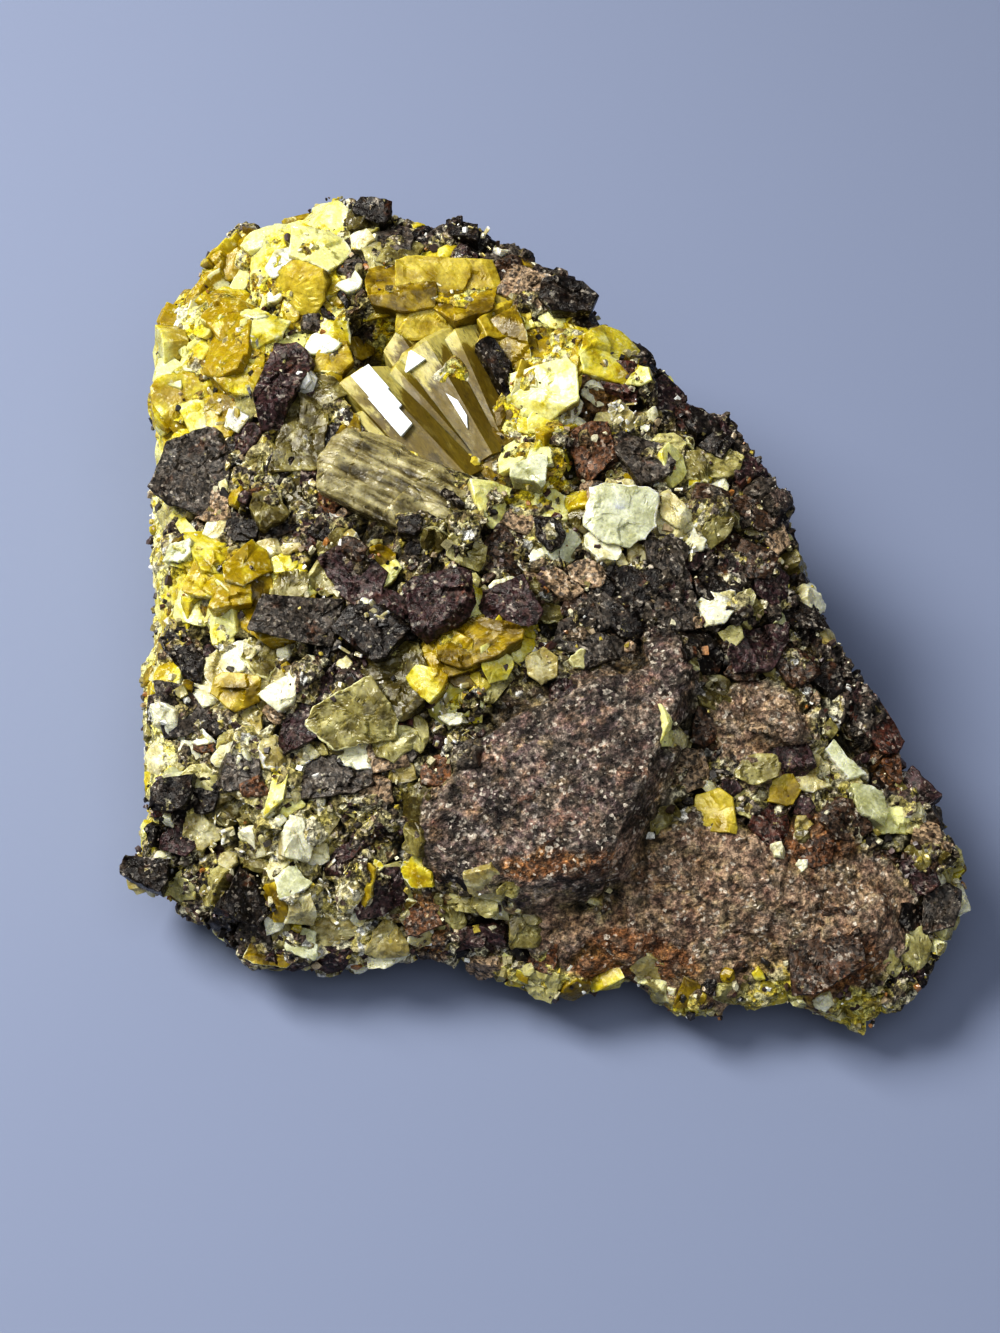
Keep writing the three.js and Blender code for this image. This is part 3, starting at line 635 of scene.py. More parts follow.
def piece(name, parts, materials, replaced=()):
    """One object of several materials. parts: (material's name, arrays)."""
    names = sorted({tint for tint, _ in parts})
    whole = joined([part for _, part in parts])
    numbers = [names.index(tint) for tint, part in parts for _ in part["faces"]]
    attributes = [(key, whole[key]) for key in ("tone", "tip", "rim")]
    used = [materials[tint] for tint in names]
    obj = mesh_object(name, within_box(whole["vertices"]), whole["faces"], used, numbers, attributes)
    if replaced:
        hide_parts(*replaced)


# ---- plates: grains that lie flush in the surface
def resampled(outline, spacing):
    """The outline with points about spacing apart, its corners kept."""
    points = []
    for start, end in zip(outline, np.roll(outline, -1, axis=0)):
        pieces = max(1, round(float(np.linalg.norm(end - start)) / spacing))
        points.append(start + (end - start) * (np.arange(pieces) / pieces)[:, None])
    return np.concatenate(points)


def plate_net(outline, spacing, bevel):
    """One closed plate in its own plane: (points, share of the way to the outline, level, triangles,
    quads). level is 0 on the top, 1 on the outline and 2 on the hidden foot."""
    corners = resampled(outline, spacing)
    count = len(corners)
    reach = np.linalg.norm(corners, axis=1).mean()
    inner = max(1, round((reach - bevel) / spacing))
    shares = np.append(np.arange(1, inner + 1) / inner * (1 - min(0.5, bevel / reach)), 1.0)
    rings = [corners * share for share in shares] + [corners * FOOT_SHARE]
    points = np.concatenate([np.zeros((1, 2))] + rings + [np.zeros((1, 2))])
    share = np.concatenate([[0.0], np.repeat(shares, count), np.ones(count + 1)])
    level = np.concatenate([np.zeros(1 + count * inner), np.ones(count), np.full(count + 1, 2)])
    around = np.arange(count)
    after = (around + 1) % count
    top_fan = np.stack([np.zeros(count, dtype=int), 1 + around, 1 + after], axis=1)
    bottom = len(points) - 1
    bottom_fan = np.stack([np.full(count, bottom), bottom - count + after, bottom - count + around], axis=1)
    quads = []
    for ring in range(inner + 1):
        near, far = 1 + ring * count, 1 + (ring + 1) * count
        quads.append(np.stack([near + around, far + around, far + after, near + after], axis=1))
    return points, share, level, np.concatenate([top_fan, bottom_fan]), np.concatenate(quads)


class Grain:
    """One plate to be made: where it lies, its outline in its own plane (mm), its style and its colour."""

    def __init__(self, place, normal, along, outline, style, rise, tone, rim, rng):
        self.place = np.array(place) / MM
        self.normal = unit(np.array(normal, dtype=float))
        self.along = square_to(self.normal, along)
        self.across = np.cross(self.normal, self.along)
        self.outline = outline
        self.tone = tone
        self.rim = rim
        self.style = style
        self.radius = np.linalg.norm(outline, axis=1).mean()
        self.facets = self.cut_top(rise, rng)

    def cut_top(self, rise, rng):
        """Rows of middle height and slope along and across: the top is the lowest of these planes."""
        cap_angle = rng.uniform(0, 2 * math.pi)
        cap_slope = rng.uniform(0, self.style["cap"])
        rows = [(rise, cap_slope * math.cos(cap_angle), cap_slope * math.sin(cap_angle))]
        start = rng.uniform(0, 2 * math.pi)
        for side in range(SIDE_FACETS):
            angle = start + 2 * math.pi * (side + rng.uniform(-0.3, 0.3)) / SIDE_FACETS
            slope = rng.uniform(*self.style["slope"])
            begins = rng.uniform(*self.style["begins"]) * self.radius
            rows.append((rise + slope * begins, -slope * math.cos(angle), -slope * math.sin(angle)))
        return np.array(rows)


def plates(grains, spacing, bevel=0.07):
    """The grains as one set of arrays, with world-wide noise that makes touching outlines match."""
    nets = [plate_net(grain.outline, spacing, bevel) for grain in grains]
    counts = np.array([len(net[0]) for net in nets])
    owner = np.repeat(np.arange(len(grains)), counts)
    flat, share, level = (np.concatenate([net[k] for net in nets]) for k in range(3))
    place, normal, along, across, reach, tone, rim, facets = (
        np.array([getattr(grain, name) for grain in grains])[owner]
        for name in ("place", "normal", "along", "across", "radius", "tone", "rim", "facets"))
    rough, broken, ragged, depth = (np.array([grain.style[name] for grain in grains])[owner]
                                    for name in ("rough", "broken", "ragged", "depth"))
    world = place + flat[:, :1] * along + flat[:, 1:] * across
    drift = np.stack([0.8 * rough_noise(world, 1.1, 401 + k) + 0.45 * smooth_noise(world, 0.30, 431 + k)
                      for k in range(3)], axis=1) * ragged[:, None]
    flat = flat + np.stack([(drift * along).sum(axis=1), (drift * across).sum(axis=1)], axis=1)
    world = place + flat[:, :1] * along + flat[:, 1:] * across
    height = (facets[:, :, 0] + facets[:, :, 1] * flat[:, :1] + facets[:, :, 2] * flat[:, 1:]).min(axis=1)
    for number, size in enumerate((2.6, 0.95)):
        _, tilt, away, border = fragments(world, size, 441 + 10 * number)
        height += broken[:, number] * ((tilt * away).sum(axis=1) * 0.8 - 0.1 * (1 - step(0.0, 0.2, border)))
    height += rough * rough_noise(world, 0.55, 461, 2)
    height = np.where(level == 1, height - bevel, height)
    height = np.where(level == 2, -depth - 0.3 * np.linalg.norm(flat, axis=1), height)
    offsets = np.cumsum(counts) - counts
    faces = [np.concatenate([net[k] + offset for net, offset in zip(nets, offsets)]) for k in (3, 4)]
    return {"vertices": (world + height[:, None] * normal) * MM, "faces": faces, "tone": tone,
            "tip": np.where(level == 2, 0.0, 1.0), "rim": rim * step(reach - RIM_WIDTH, reach, share * reach)}


def clipped(polygon, way, limit):
    """The part of a convex polygon that lies less than limit along way."""
    ahead = polygon @ way - limit
    if ahead.max() <= 0:
        return polygon
    kept = []
    for k, (here, there) in enumerate(zip(ahead, np.roll(ahead, -1))):
        after = polygon[(k + 1) % len(polygon)]
        if here <= 0:
            kept.append(polygon[k])
        if here * there < 0:
            kept.append(polygon[k] + (after - polygon[k]) * here / (here - there))
    return np.array(kept)


def angular_outline(length, width, rng, cuts=6, least=0.50):
    """A skewed and tapered rectangle with its corners and sides cut off at random."""
    polygon = np.array([(-1.0, -1.0), (1.0, -1.0), (1.0, 1.0), (-1.0, 1.0)])
    polygon[:, 1] *= 1 + rng.uniform(-0.3, 0.3) * polygon[:, 0]
    polygon[:, 0] += rng.uniform(-0.3, 0.3) * polygon[:, 1]
    polygon *= np.array([length, width]) * 0.54
    start = rng.uniform(0, 2 * math.pi)
    for cut in range(cuts):
        angle = start + 2 * math.pi * (cut + rng.uniform(-0.4, 0.4)) / cuts
        way = np.array([math.cos(angle), math.sin(angle)])
        polygon = clipped(polygon, way, (polygon @ way).max() * rng.uniform(least, 0.98))
    return polygon - polygon.mean(axis=0)


def packed_places(rock, weight, sizes, rng, blocked, growth=0.0):
    """Places on the rock for round grains with the given radii in mm, the largest first, none over another.
    growth: how much larger than the given radii they are in the lemon regions."""
    points, normals, numbers = scattered(rock, weight, len(sizes), rng)
    radii = sizes * (1 + growth * rock.masks["lemon"][numbers])
    order = np.argsort(-radii)
    points, normals, numbers, radii = points[order] / MM, normals[order], numbers[order], radii[order]
    packing = PACKING + (LEMON_PACKING - PACKING) * rock.masks["lemon"][numbers]
    kept = np.empty(0, dtype=int)
    for k in np.flatnonzero(~blocked(points, radii)):
        distance = np.linalg.norm(points[kept] - points[k], axis=1)
        if (distance >= packing[k] * (radii[kept] + radii[k])).all():
            kept = np.append(kept, k)
    return points[kept], normals[kept], radii[kept], numbers[kept]


def cell_outlines(points, normals, along, radii, rng, gap):
    """Each place's outline in its own plane, cut where its neighbours begin. gap: the gap there, by
    place."""
    tree = KDTree(len(points))
    for number, point in enumerate(points):
        tree.insert(point, number)
    tree.balance()
    outlines = []
    turn = np.arange(CELL_CORNERS) * 2 * math.pi / CELL_CORNERS
    for number, (point, normal, forward, radius) in enumerate(zip(points, normals, along, radii)):
        sideways = np.cross(normal, forward)
        reach = radius * rng.uniform(0.70, 1.60, CELL_CORNERS)
        bound = reach[:, None] * np.stack([np.cos(turn), np.sin(turn)], axis=1)
        polygon = bound[convex_hull_2d([tuple(corner) for corner in bound])]
        for _, other, _ in tree.find_range(point, radius + radii.max() + 0.6):
            apart = points[other] - point
            way = np.array([apart @ forward, apart @ sideways])
            span = np.linalg.norm(way)
            if other == number or span < 0.05 or normals[other] @ normal < 0.2:
                continue
            middle = (span ** 2 + radius ** 2 - radii[other] ** 2) / (2 * span)
            limit = middle - (gap[number] + gap[other]) / 4
            polygon = clipped(polygon, way / span, max(limit, 0.25 * radius))
        outlines.append(polygon)
    return outlines


# ---- materials
class Tree:
    """Short calls that add shader nodes to one material. What goes in is a plain value or a socket."""

    def __init__(self, name):
        self.material = bpy.data.materials.new(name)
        self.material.use_nodes = True
        self.shader = self.material.node_tree.nodes["Principled BSDF"]
        self.place = self.node("TexCoord", {}, "Object")

    def put(self, value, socket):
        if isinstance(value, bpy.types.NodeSocket):
            self.material.node_tree.links.new(value, socket)
        else:
            socket.default_value = value

    def node(self, kind, inputs, output=0, **settings):
        """Adds a node with these settings and inputs, and gives one of its outputs."""
        node = self.material.node_tree.nodes.new("ShaderNode" + kind)
        for name, value in settings.items():
            setattr(node, name, value)
        for name, value in inputs.items():
            self.put(value, node.inputs[name])
        return node.outputs[output]

    def attribute(self, name):
        return self.node("Attribute", {}, "Fac", attribute_name=name)

    def noise(self, size_mm, detail=2.0, roughness=0.5, place=None, output="Fac"):
        inputs = {"Vector": place or self.place, "Scale": 1 / (size_mm * MM), "Detail": detail,
                  "Roughness": roughness}
        return self.node("TexNoise", inputs, output)

    def cells(self, size_mm, output="Color", feature="F1", place=None):
        inputs = {"Vector": place or self.place, "Scale": 1 / (size_mm * MM)}
        return self.node("TexVoronoi", inputs, output, feature=feature)

    def drawn_out(self, bearing, factor):
        """The place squeezed along a bearing in plan, in degrees: what is made from it is longer there."""
        turn = (0.0, 0.0, math.radians(bearing))
        inputs = {"Vector": self.place, "Rotation": turn, "Scale": (factor, 1.0, 1.0)}
        return self.node("Mapping", inputs, "Vector", vector_type="TEXTURE")

    def shifted(self, size_mm, reach_mm):
        """The place moved by noise, so that cells get ragged borders."""
        return self.moved(self.place, self.noise(size_mm, 3.0, 0.6, output="Color"), reach_mm * MM)

    def moved(self, vector, colour, reach):
        """The vector moved by up to half of reach each way, as the colour says."""
        centred = self.vector("SUBTRACT", colour, (0.5, 0.5, 0.5))
        return self.vector("ADD", vector, self.scaled(centred, reach))

    def parts_of(self, colour):
        return self.node("SeparateColor", {0: colour}).node.outputs

    def times(self, a, b):
        return self.node("Math", {0: a, 1: b}, operation="MULTIPLY")

    def plus(self, a, b):
        return self.node("Math", {0: a, 1: b}, operation="ADD")

    def less(self, a, b):
        return self.node("Math", {0: a, 1: b}, operation="SUBTRACT")

    def greatest(self, first, *others):
        for value in others:
            first = self.node("Math", {0: first, 1: value}, operation="MAXIMUM")
        return first

    def without(self, value, share):
        """1 less a share of value."""
        return self.less(1.0, self.times(value, share))

    def vector(self, operation, a, b):
        return self.node("VectorMath", {0: a, 1: b}, operation=operation)

    def scaled(self, colour, factor):
        return self.node("VectorMath", {0: colour, "Scale": factor}, operation="SCALE")

    def between(self, value, low, high, to_low=0.0, to_high=1.0):
        inputs = {"Value": value, "From Min": low, "From Max": high, "To Min": to_low, "To Max": to_high}
        return self.node("MapRange", inputs, "Result", interpolation_type="SMOOTHSTEP")

    def patches(self, noise, low, high, to_low=0.0, to_high=1.0):
        """Where noise is high, going from low to high. noise: its size in mm, detail and roughness."""
        return self.between(self.noise(*noise), low, high, to_low, to_high)

    def ramp(self, value, stops, constant=True):
        node = self.node("ValToRGB", {"Fac": value}).node
        node.color_ramp.interpolation = "CONSTANT" if constant else "LINEAR"
        elements = node.color_ramp.elements
        while len(elements) < len(stops):
            elements.new(0.5)
        for element, (position, colour) in zip(elements, stops):
            element.position = position
            element.color = (*colour, 1.0)
        return node.outputs["Color"]

    def mix(self, share, a, b):
        a, b = (value if isinstance(value, bpy.types.NodeSocket) else (*value, 1.0) for value in (a, b))
        return self.node("Mix", {"Factor": share, 6: a, 7: b}, 2, data_type="RGBA")

    def tinted(self, share, strength, colour, tint):
        """colour, turned towards tint by share times strength."""
        return self.mix(self.times(share, strength), colour, tint)

    def bump(self, height, strength, distance_mm):
        inputs = {"Strength": strength, "Distance": distance_mm * MM, "Height": height}
        return self.node("Bump", inputs, "Normal")

    def glinting(self, normal, cells, amount):
        """The normal tilted differently in each cell, so that some of them flash."""
        return self.vector("NORMALIZE", self.moved(normal, cells, amount), (0, 0, 0))

    def finish(self, colour, roughness, normal, ior):
        self.put(colour, self.shader.inputs["Base Color"])
        self.put(roughness, self.shader.inputs["Roughness"])
        self.put(normal, self.shader.inputs["Normal"])
        self.put(ior, self.shader.inputs["IOR"])
        return self.material


# ---- colours of the rock and of the skin's small fragments
BLACK = (0.010, 0.0065, 0.005)
PURPLE = (0.052, 0.026, 0.027)
GREY = (0.075, 0.062, 0.050)
BROWN = (0.066, 0.036, 0.020)
RED = (0.070, 0.024, 0.016)
ORANGE = (0.14, 0.064, 0.028)
TAN = (0.33, 0.24, 0.155)
RUST = (0.26, 0.095, 0.022)
CREAM = (0.74, 0.70, 0.50)
WHITE = (0.90, 0.90, 0.84)
ROCK_KINDS = {"black": BLACK, "purple": PURPLE, "grey": GREY, "brown": BROWN, "red": RED, "orange": ORANGE,
              "tan": TAN}
# What the small fragments in the skin are, by region: where each colour begins, as a share of them.
MOSAICS = {
    "any": [(0.0, BLACK), (0.13, PURPLE), (0.22, (0.14, 0.11, 0.05)), (0.34, (0.32, 0.27, 0.09)),
            (0.50, (0.50, 0.45, 0.22)), (0.66, CREAM), (0.82, (0.58, 0.50, 0.12)), (0.87, TAN),
            (0.95, WHITE)],
    "dark": [(0.0, BLACK), (0.48, PURPLE), (0.70, (0.045, 0.038, 0.030)), (0.84, BROWN),
             (0.92, (0.16, 0.13, 0.05))],
    "cream": [(0.0, PURPLE), (0.07, (0.25, 0.215, 0.075)), (0.22, (0.44, 0.40, 0.20)), (0.44, CREAM),
              (0.72, (0.62, 0.55, 0.20)), (0.93, WHITE)],
    "olive": [(0.0, GREY), (0.12, (0.13, 0.10, 0.03)), (0.34, (0.25, 0.215, 0.06)),
              (0.62, (0.42, 0.38, 0.13)), (0.86, CREAM)],
    "lemon": [(0.0, (0.24, 0.155, 0.003)), (0.14, (0.46, 0.34, 0.006)), (0.40, (0.64, 0.54, 0.035)),
              (0.66, (0.78, 0.74, 0.28)), (0.92, CREAM)],
    "vein": [(0.0, (0.56, 0.46, 0.06)), (0.16, (0.76, 0.70, 0.24)), (0.50, (0.82, 0.79, 0.42)),
             (0.82, CREAM)],
    "seam": [(0.0, BROWN), (0.04, (0.36, 0.28, 0.030)), (0.24, (0.54, 0.45, 0.075)),
             (0.52, (0.64, 0.59, 0.20)), (0.80, (0.60, 0.56, 0.30))],
}
# How far a region's fragments stray over its edge, where that isn't 1.
MOSAIC_SPREAD = {"lemon": 0.5, "vein": 0.2, "seam": 0.35}
# Broad mottling over the fragments, three colours each. "sunk" is what lies deeper than all around it; its
# dark amber there is painted shade.
MOTTLING = {
    "liver": ((0.060, 0.042, 0.042), (0.125, 0.092, 0.084), (0.22, 0.130, 0.095)),
    "tan": ((0.120, 0.062, 0.045), (0.28, 0.190, 0.135), (0.21, 0.175, 0.105)),
    "rust": ((0.10, 0.042, 0.018), (0.22, 0.100, 0.038), (0.32, 0.180, 0.070)),
    # Painted shade: dark amber in the hollows.
    "sunk": ((0.085, 0.052, 0.002), (0.19, 0.128, 0.004), (0.30, 0.220, 0.014)),
}
# Loose grains: how many, where each colour begins, roughness, slot.
LOOSE_GRAINS = {
    "pale_grains": (1800, [(0.0, CREAM), (0.26, (0.40, 0.36, 0.20)), (0.46, (0.52, 0.42, 0.08)),
                           (0.60, WHITE), (0.68, (0.28, 0.24, 0.10)), (0.82, (0.42, 0.33, 0.21)),
                           (0.93, (0.36, 0.17, 0.05))],
                    (0.2, 0.6), "cream_pyromorphite"),
    "dark_grains": (1400, [(0.0, BLACK), (0.35, PURPLE), (0.60, GREY), (0.75, BROWN), (0.90, RED)],
                    (0.25, 0.7), "goethite_gossan"),
}


def rock_surface(tree, colour, speckle, glint, relief, gloss, facets, tilt, crystal=0.0, dull=1.0):
    """Adds to a rock colour its lighter ridges, painted shade in its hollows, grains and glints. relief: the
    height of the bumps in mm. gloss: the roughness of most grains and of the brightest ones. facets: cells
    that
    each lie at their own tilt. crystal: how far it is crystal, which has fewer grains of its own. dull: how
    strongly dark grains show."""
    grain = tree.parts_of(tree.cells(0.22))
    rocky = tree.without(crystal, 0.85)
    # Lighter on the ridges, where the skin stands out from its close surroundings.
    colour = tree.tinted(tree.between(tree.attribute("ridge"), 0.025, 0.10), 0.25, colour, (0.34, 0.28, 0.21))
    dark = tree.times(tree.between(grain[1], 0.55, 0.75), tree.times(rocky, dull))
    colour = tree.tinted(dark, 0.75, colour, (0.010, 0.007, 0.005))
    sown = tree.between(tree.patches((1.1, 3.0, 0.6), 0.44, 0.60), 0.0, 1.0, 0.08, 1.0)
    pale = tree.times(tree.between(grain[0], 0.80, 0.88), sown)
    colour = tree.tinted(tree.times(pale, rocky), speckle, colour, (0.62, 0.56, 0.47))
    # Painted shade: what lies deeper than all around it is made near black.
    colour = tree.tinted(tree.between(tree.attribute("sunk"), 0.12, 0.50), 0.9, colour, (0.006, 0.004, 0.002))
    fine = tree.noise(0.34, 4.0, 0.75)
    colour = tree.scaled(colour, tree.between(fine, 0.34, 0.66, 0.35, 1.75))
    height = tree.plus(fine, tree.times(tree.noise(0.12, 2.0, 0.6), 0.6))
    normal = tree.glinting(tree.bump(height, 1.0, relief), tree.cells(0.26), glint)
    normal = tree.glinting(normal, facets, tilt)
    return tree.finish(colour, tree.between(grain[2], 0.60, 0.92, *gloss), normal, 1.45)


def skin_colour(tree, fragment, broad):
    """The skin's small fragments of rock and crystal, region by region, and the mottling over them."""
    kind = tree.parts_of(fragment)[0]
    patchy = tree.times(tree.less(tree.noise(0.8, 3.0, 0.6), 0.5), 1.2)
    colour = tree.ramp(kind, MOSAICS["any"])
    for name, stops in MOSAICS.items():
        if name != "any":
            spread = tree.times(patchy, MOSAIC_SPREAD.get(name, 1.0))
            share = tree.between(tree.plus(tree.attribute(name), spread), 0.47, 0.53)
            colour = tree.mix(share, colour, tree.ramp(kind, stops))
    for name, tints in MOTTLING.items():
        tint = tree.ramp(broad, list(zip((0.28, 0.50, 0.74), tints)), constant=False)
        colour = tree.tinted(tree.attribute(name), 0.92, colour, tint)
    return tree.tinted(tree.patches((2.4, 3.0, 0.6), 0.62, 0.74), 0.3, colour, RUST)


def skin_material():
    tree = Tree("gossan")
    liver, tan = tree.attribute("liver"), tree.attribute("tan")
    broad = tree.noise(1.4, 3.0, 0.6)
    ragged = tree.shifted(0.8, 0.7)
    finer = tree.patches((1.7, 3.0, 0.6), 0.47, 0.49)
    fragment = tree.mix(finer, tree.cells(1.05, place=ragged), tree.cells(0.48, place=ragged))
    colour = skin_colour(tree, fragment, broad)
    lengthwise = tree.drawn_out(SLAB_GRAIN, 3.2)
    mottled = tree.patches((1.2, 4.0, 0.7, lengthwise), 0.38, 0.62, 0.42, 1.65)
    colour = tree.mix(liver, colour, tree.scaled(colour, mottled))
    flecks = tree.patches((0.42, 4.0, 0.75, lengthwise), 0.60, 0.68)
    colour = tree.tinted(tree.times(flecks, liver), 0.55, colour, (0.50, 0.45, 0.40))
    calm = tree.less(1.0, tree.greatest(liver, tan))
    streaks = tree.patches((0.75, 5.0, 0.8), 0.40, 0.62, 0.45, 1.65)
    colour = tree.mix(calm, tree.scaled(colour, streaks), colour)
    crystal = tree.greatest(*(tree.attribute(name) for name in ("lemon", "vein", "seam", "sunk", "cream")))
    border = tree.cells(1.05, "Distance", "DISTANCE_TO_EDGE", ragged)
    cracked = tree.times(tree.between(border, 0.05, 0.0), tree.between(broad, 0.44, 0.56))
    cracked = tree.times(cracked, tree.without(crystal, 0.6))
    colour = tree.tinted(tree.times(cracked, calm), 0.95, colour, BLACK)
    facets = tree.mix(calm, (0.5, 0.5, 0.5), fragment)
    dull = tree.less(tree.without(tan, 0.65), tree.times(liver, 0.45))
    return rock_surface(tree, colour, 0.75, 0.45, 0.22, (0.55, 0.18), facets, 0.75, crystal, dull)


def clast_material():
    tree = Tree("clast")
    places = [(number / len(ROCK_KINDS), colour) for number, colour in enumerate(ROCK_KINDS.values())]
    colour = tree.ramp(tree.attribute("tone"), places)
    colour = tree.tinted(tree.patches((0.9, 3.0, 0.65), 0.46, 0.70), 0.25, colour, (0.19, 0.140, 0.100))
    colour = tree.tinted(tree.patches((1.7, 3.0, 0.6), 0.58, 0.72), 0.4, colour, (0.20, 0.075, 0.03))
    patchy = tree.noise(0.7, 4.0, 0.75)
    crusts = [(0.40, CREAM), (0.50, (0.42, 0.38, 0.18)), (0.60, (0.60, 0.52, 0.20))]
    crust = tree.ramp(tree.noise(2.0), crusts, constant=False)
    colour = tree.tinted(tree.between(patchy, 0.62, 0.68), 0.5, colour, crust)
    edge = tree.between(tree.plus(tree.attribute("rim"), patchy), 1.02, 1.18)
    colour = tree.tinted(edge, 0.9, colour, crust)
    facets = tree.cells(0.75, place=tree.shifted(0.6, 0.5))
    return rock_surface(tree, colour, 0.34, 0.25, 0.08, (0.38, 0.15), facets, 0.55)


def crystal_material(name, deep, body, pale, rim, frost, dirt=0.6, gloss=(0.18, 0.45), scatter=0.45,
                     clearness=0.0, tilt=0.30, grain=None):
    """Crystal with painted shade that makes it deep-coloured low down, and pale at its edges, partly as
    frosted crystal
    and partly as a painted highlight. frost: how strongly the rim's colour lies on it in patches. dirt: how
    strongly
    stains and dark specks show. gloss: the least and most roughness. tilt: how differently its small facets
    lie.
    grain: the bearing in degrees of its lengthwise streaks, if it has them."""
    tree = Tree(name)
    if grain is not None:
        tree.place = tree.drawn_out(grain, 3.0)
    tone = tree.times(tree.less(tree.attribute("tone"), 0.5), 1.05)
    cloud = tree.times(tree.less(tree.noise(1.7, 3.0, 0.6), 0.5), 2.2)
    value = tree.plus(tone, tree.plus(cloud, 0.5))
    colour = tree.ramp(value, [(0.10, deep), (0.48, body), (0.90, pale)], constant=False)
    # Painted shade: darker towards the foot of each plate and prism, where it meets the rock.
    colour = tree.tinted(tree.between(tree.attribute("tip"), 0.95, 0.55), 0.8, colour, deep)
    patchy = tree.noise(0.55, 5.0, 0.75)
    colour = tree.tinted(tree.between(patchy, 0.55, 0.63), frost, colour, rim)
    # Pale rims along the plates' edges: partly frosted crystal, partly a painted highlight where the edges
    # catch the light.
    crusted = tree.patches((2.6,), 0.44, 0.56, -0.25, 0.12)
    edge = tree.plus(tree.plus(tree.attribute("rim"), patchy), crusted)
    colour = tree.tinted(tree.between(edge, 1.0, 1.22), 0.9, colour, rim)
    stain = tree.patches((1.3, 4.0, 0.75), 0.59, 0.67)
    colour = tree.tinted(stain, dirt, colour, tuple(0.25 * channel for channel in deep))
    specks = tree.patches((0.26, 3.0, 0.7), 0.62, 0.68)
    colour = tree.tinted(specks, dirt, colour, tuple(0.2 * channel for channel in body))
    fine = tree.noise(0.24, 4.0, 0.7)
    colour = tree.scaled(colour, tree.between(fine, 0.30, 0.70, 0.80, 1.15))
    facets = tree.cells(0.9, place=tree.shifted(0.8, 0.5))
    normal = tree.glinting(tree.bump(fine, 0.5, 0.08), facets, tilt)
    for label, number in (("Weight", scatter), ("Radius", (1.0, 0.88, 0.30)), ("Scale", 0.7 * MM)):
        tree.shader.inputs["Subsurface " + label].default_value = number
    tree.shader.inputs["Transmission Weight"].default_value = clearness
    return tree.finish(colour, tree.patches((0.6, 2.0, 0.6), 0.35, 0.7, *gloss), normal, 1.6)


def grain_material(name, stops, gloss):
    """Small grains, each of one colour picked by its tone."""
    tree = Tree(name)
    speckled = tree.patches((0.2, 3.0, 0.7), 0.25, 0.75, 0.55, 1.35)
    colour = tree.scaled(tree.ramp(tree.attribute("tone"), stops), speckled)
    normal = tree.bump(tree.noise(0.15, 2.0, 0.6), 0.4, 0.08)
    return tree.finish(colour, tree.patches((0.5,), 0.3, 0.7, *gloss), normal, 1.8)
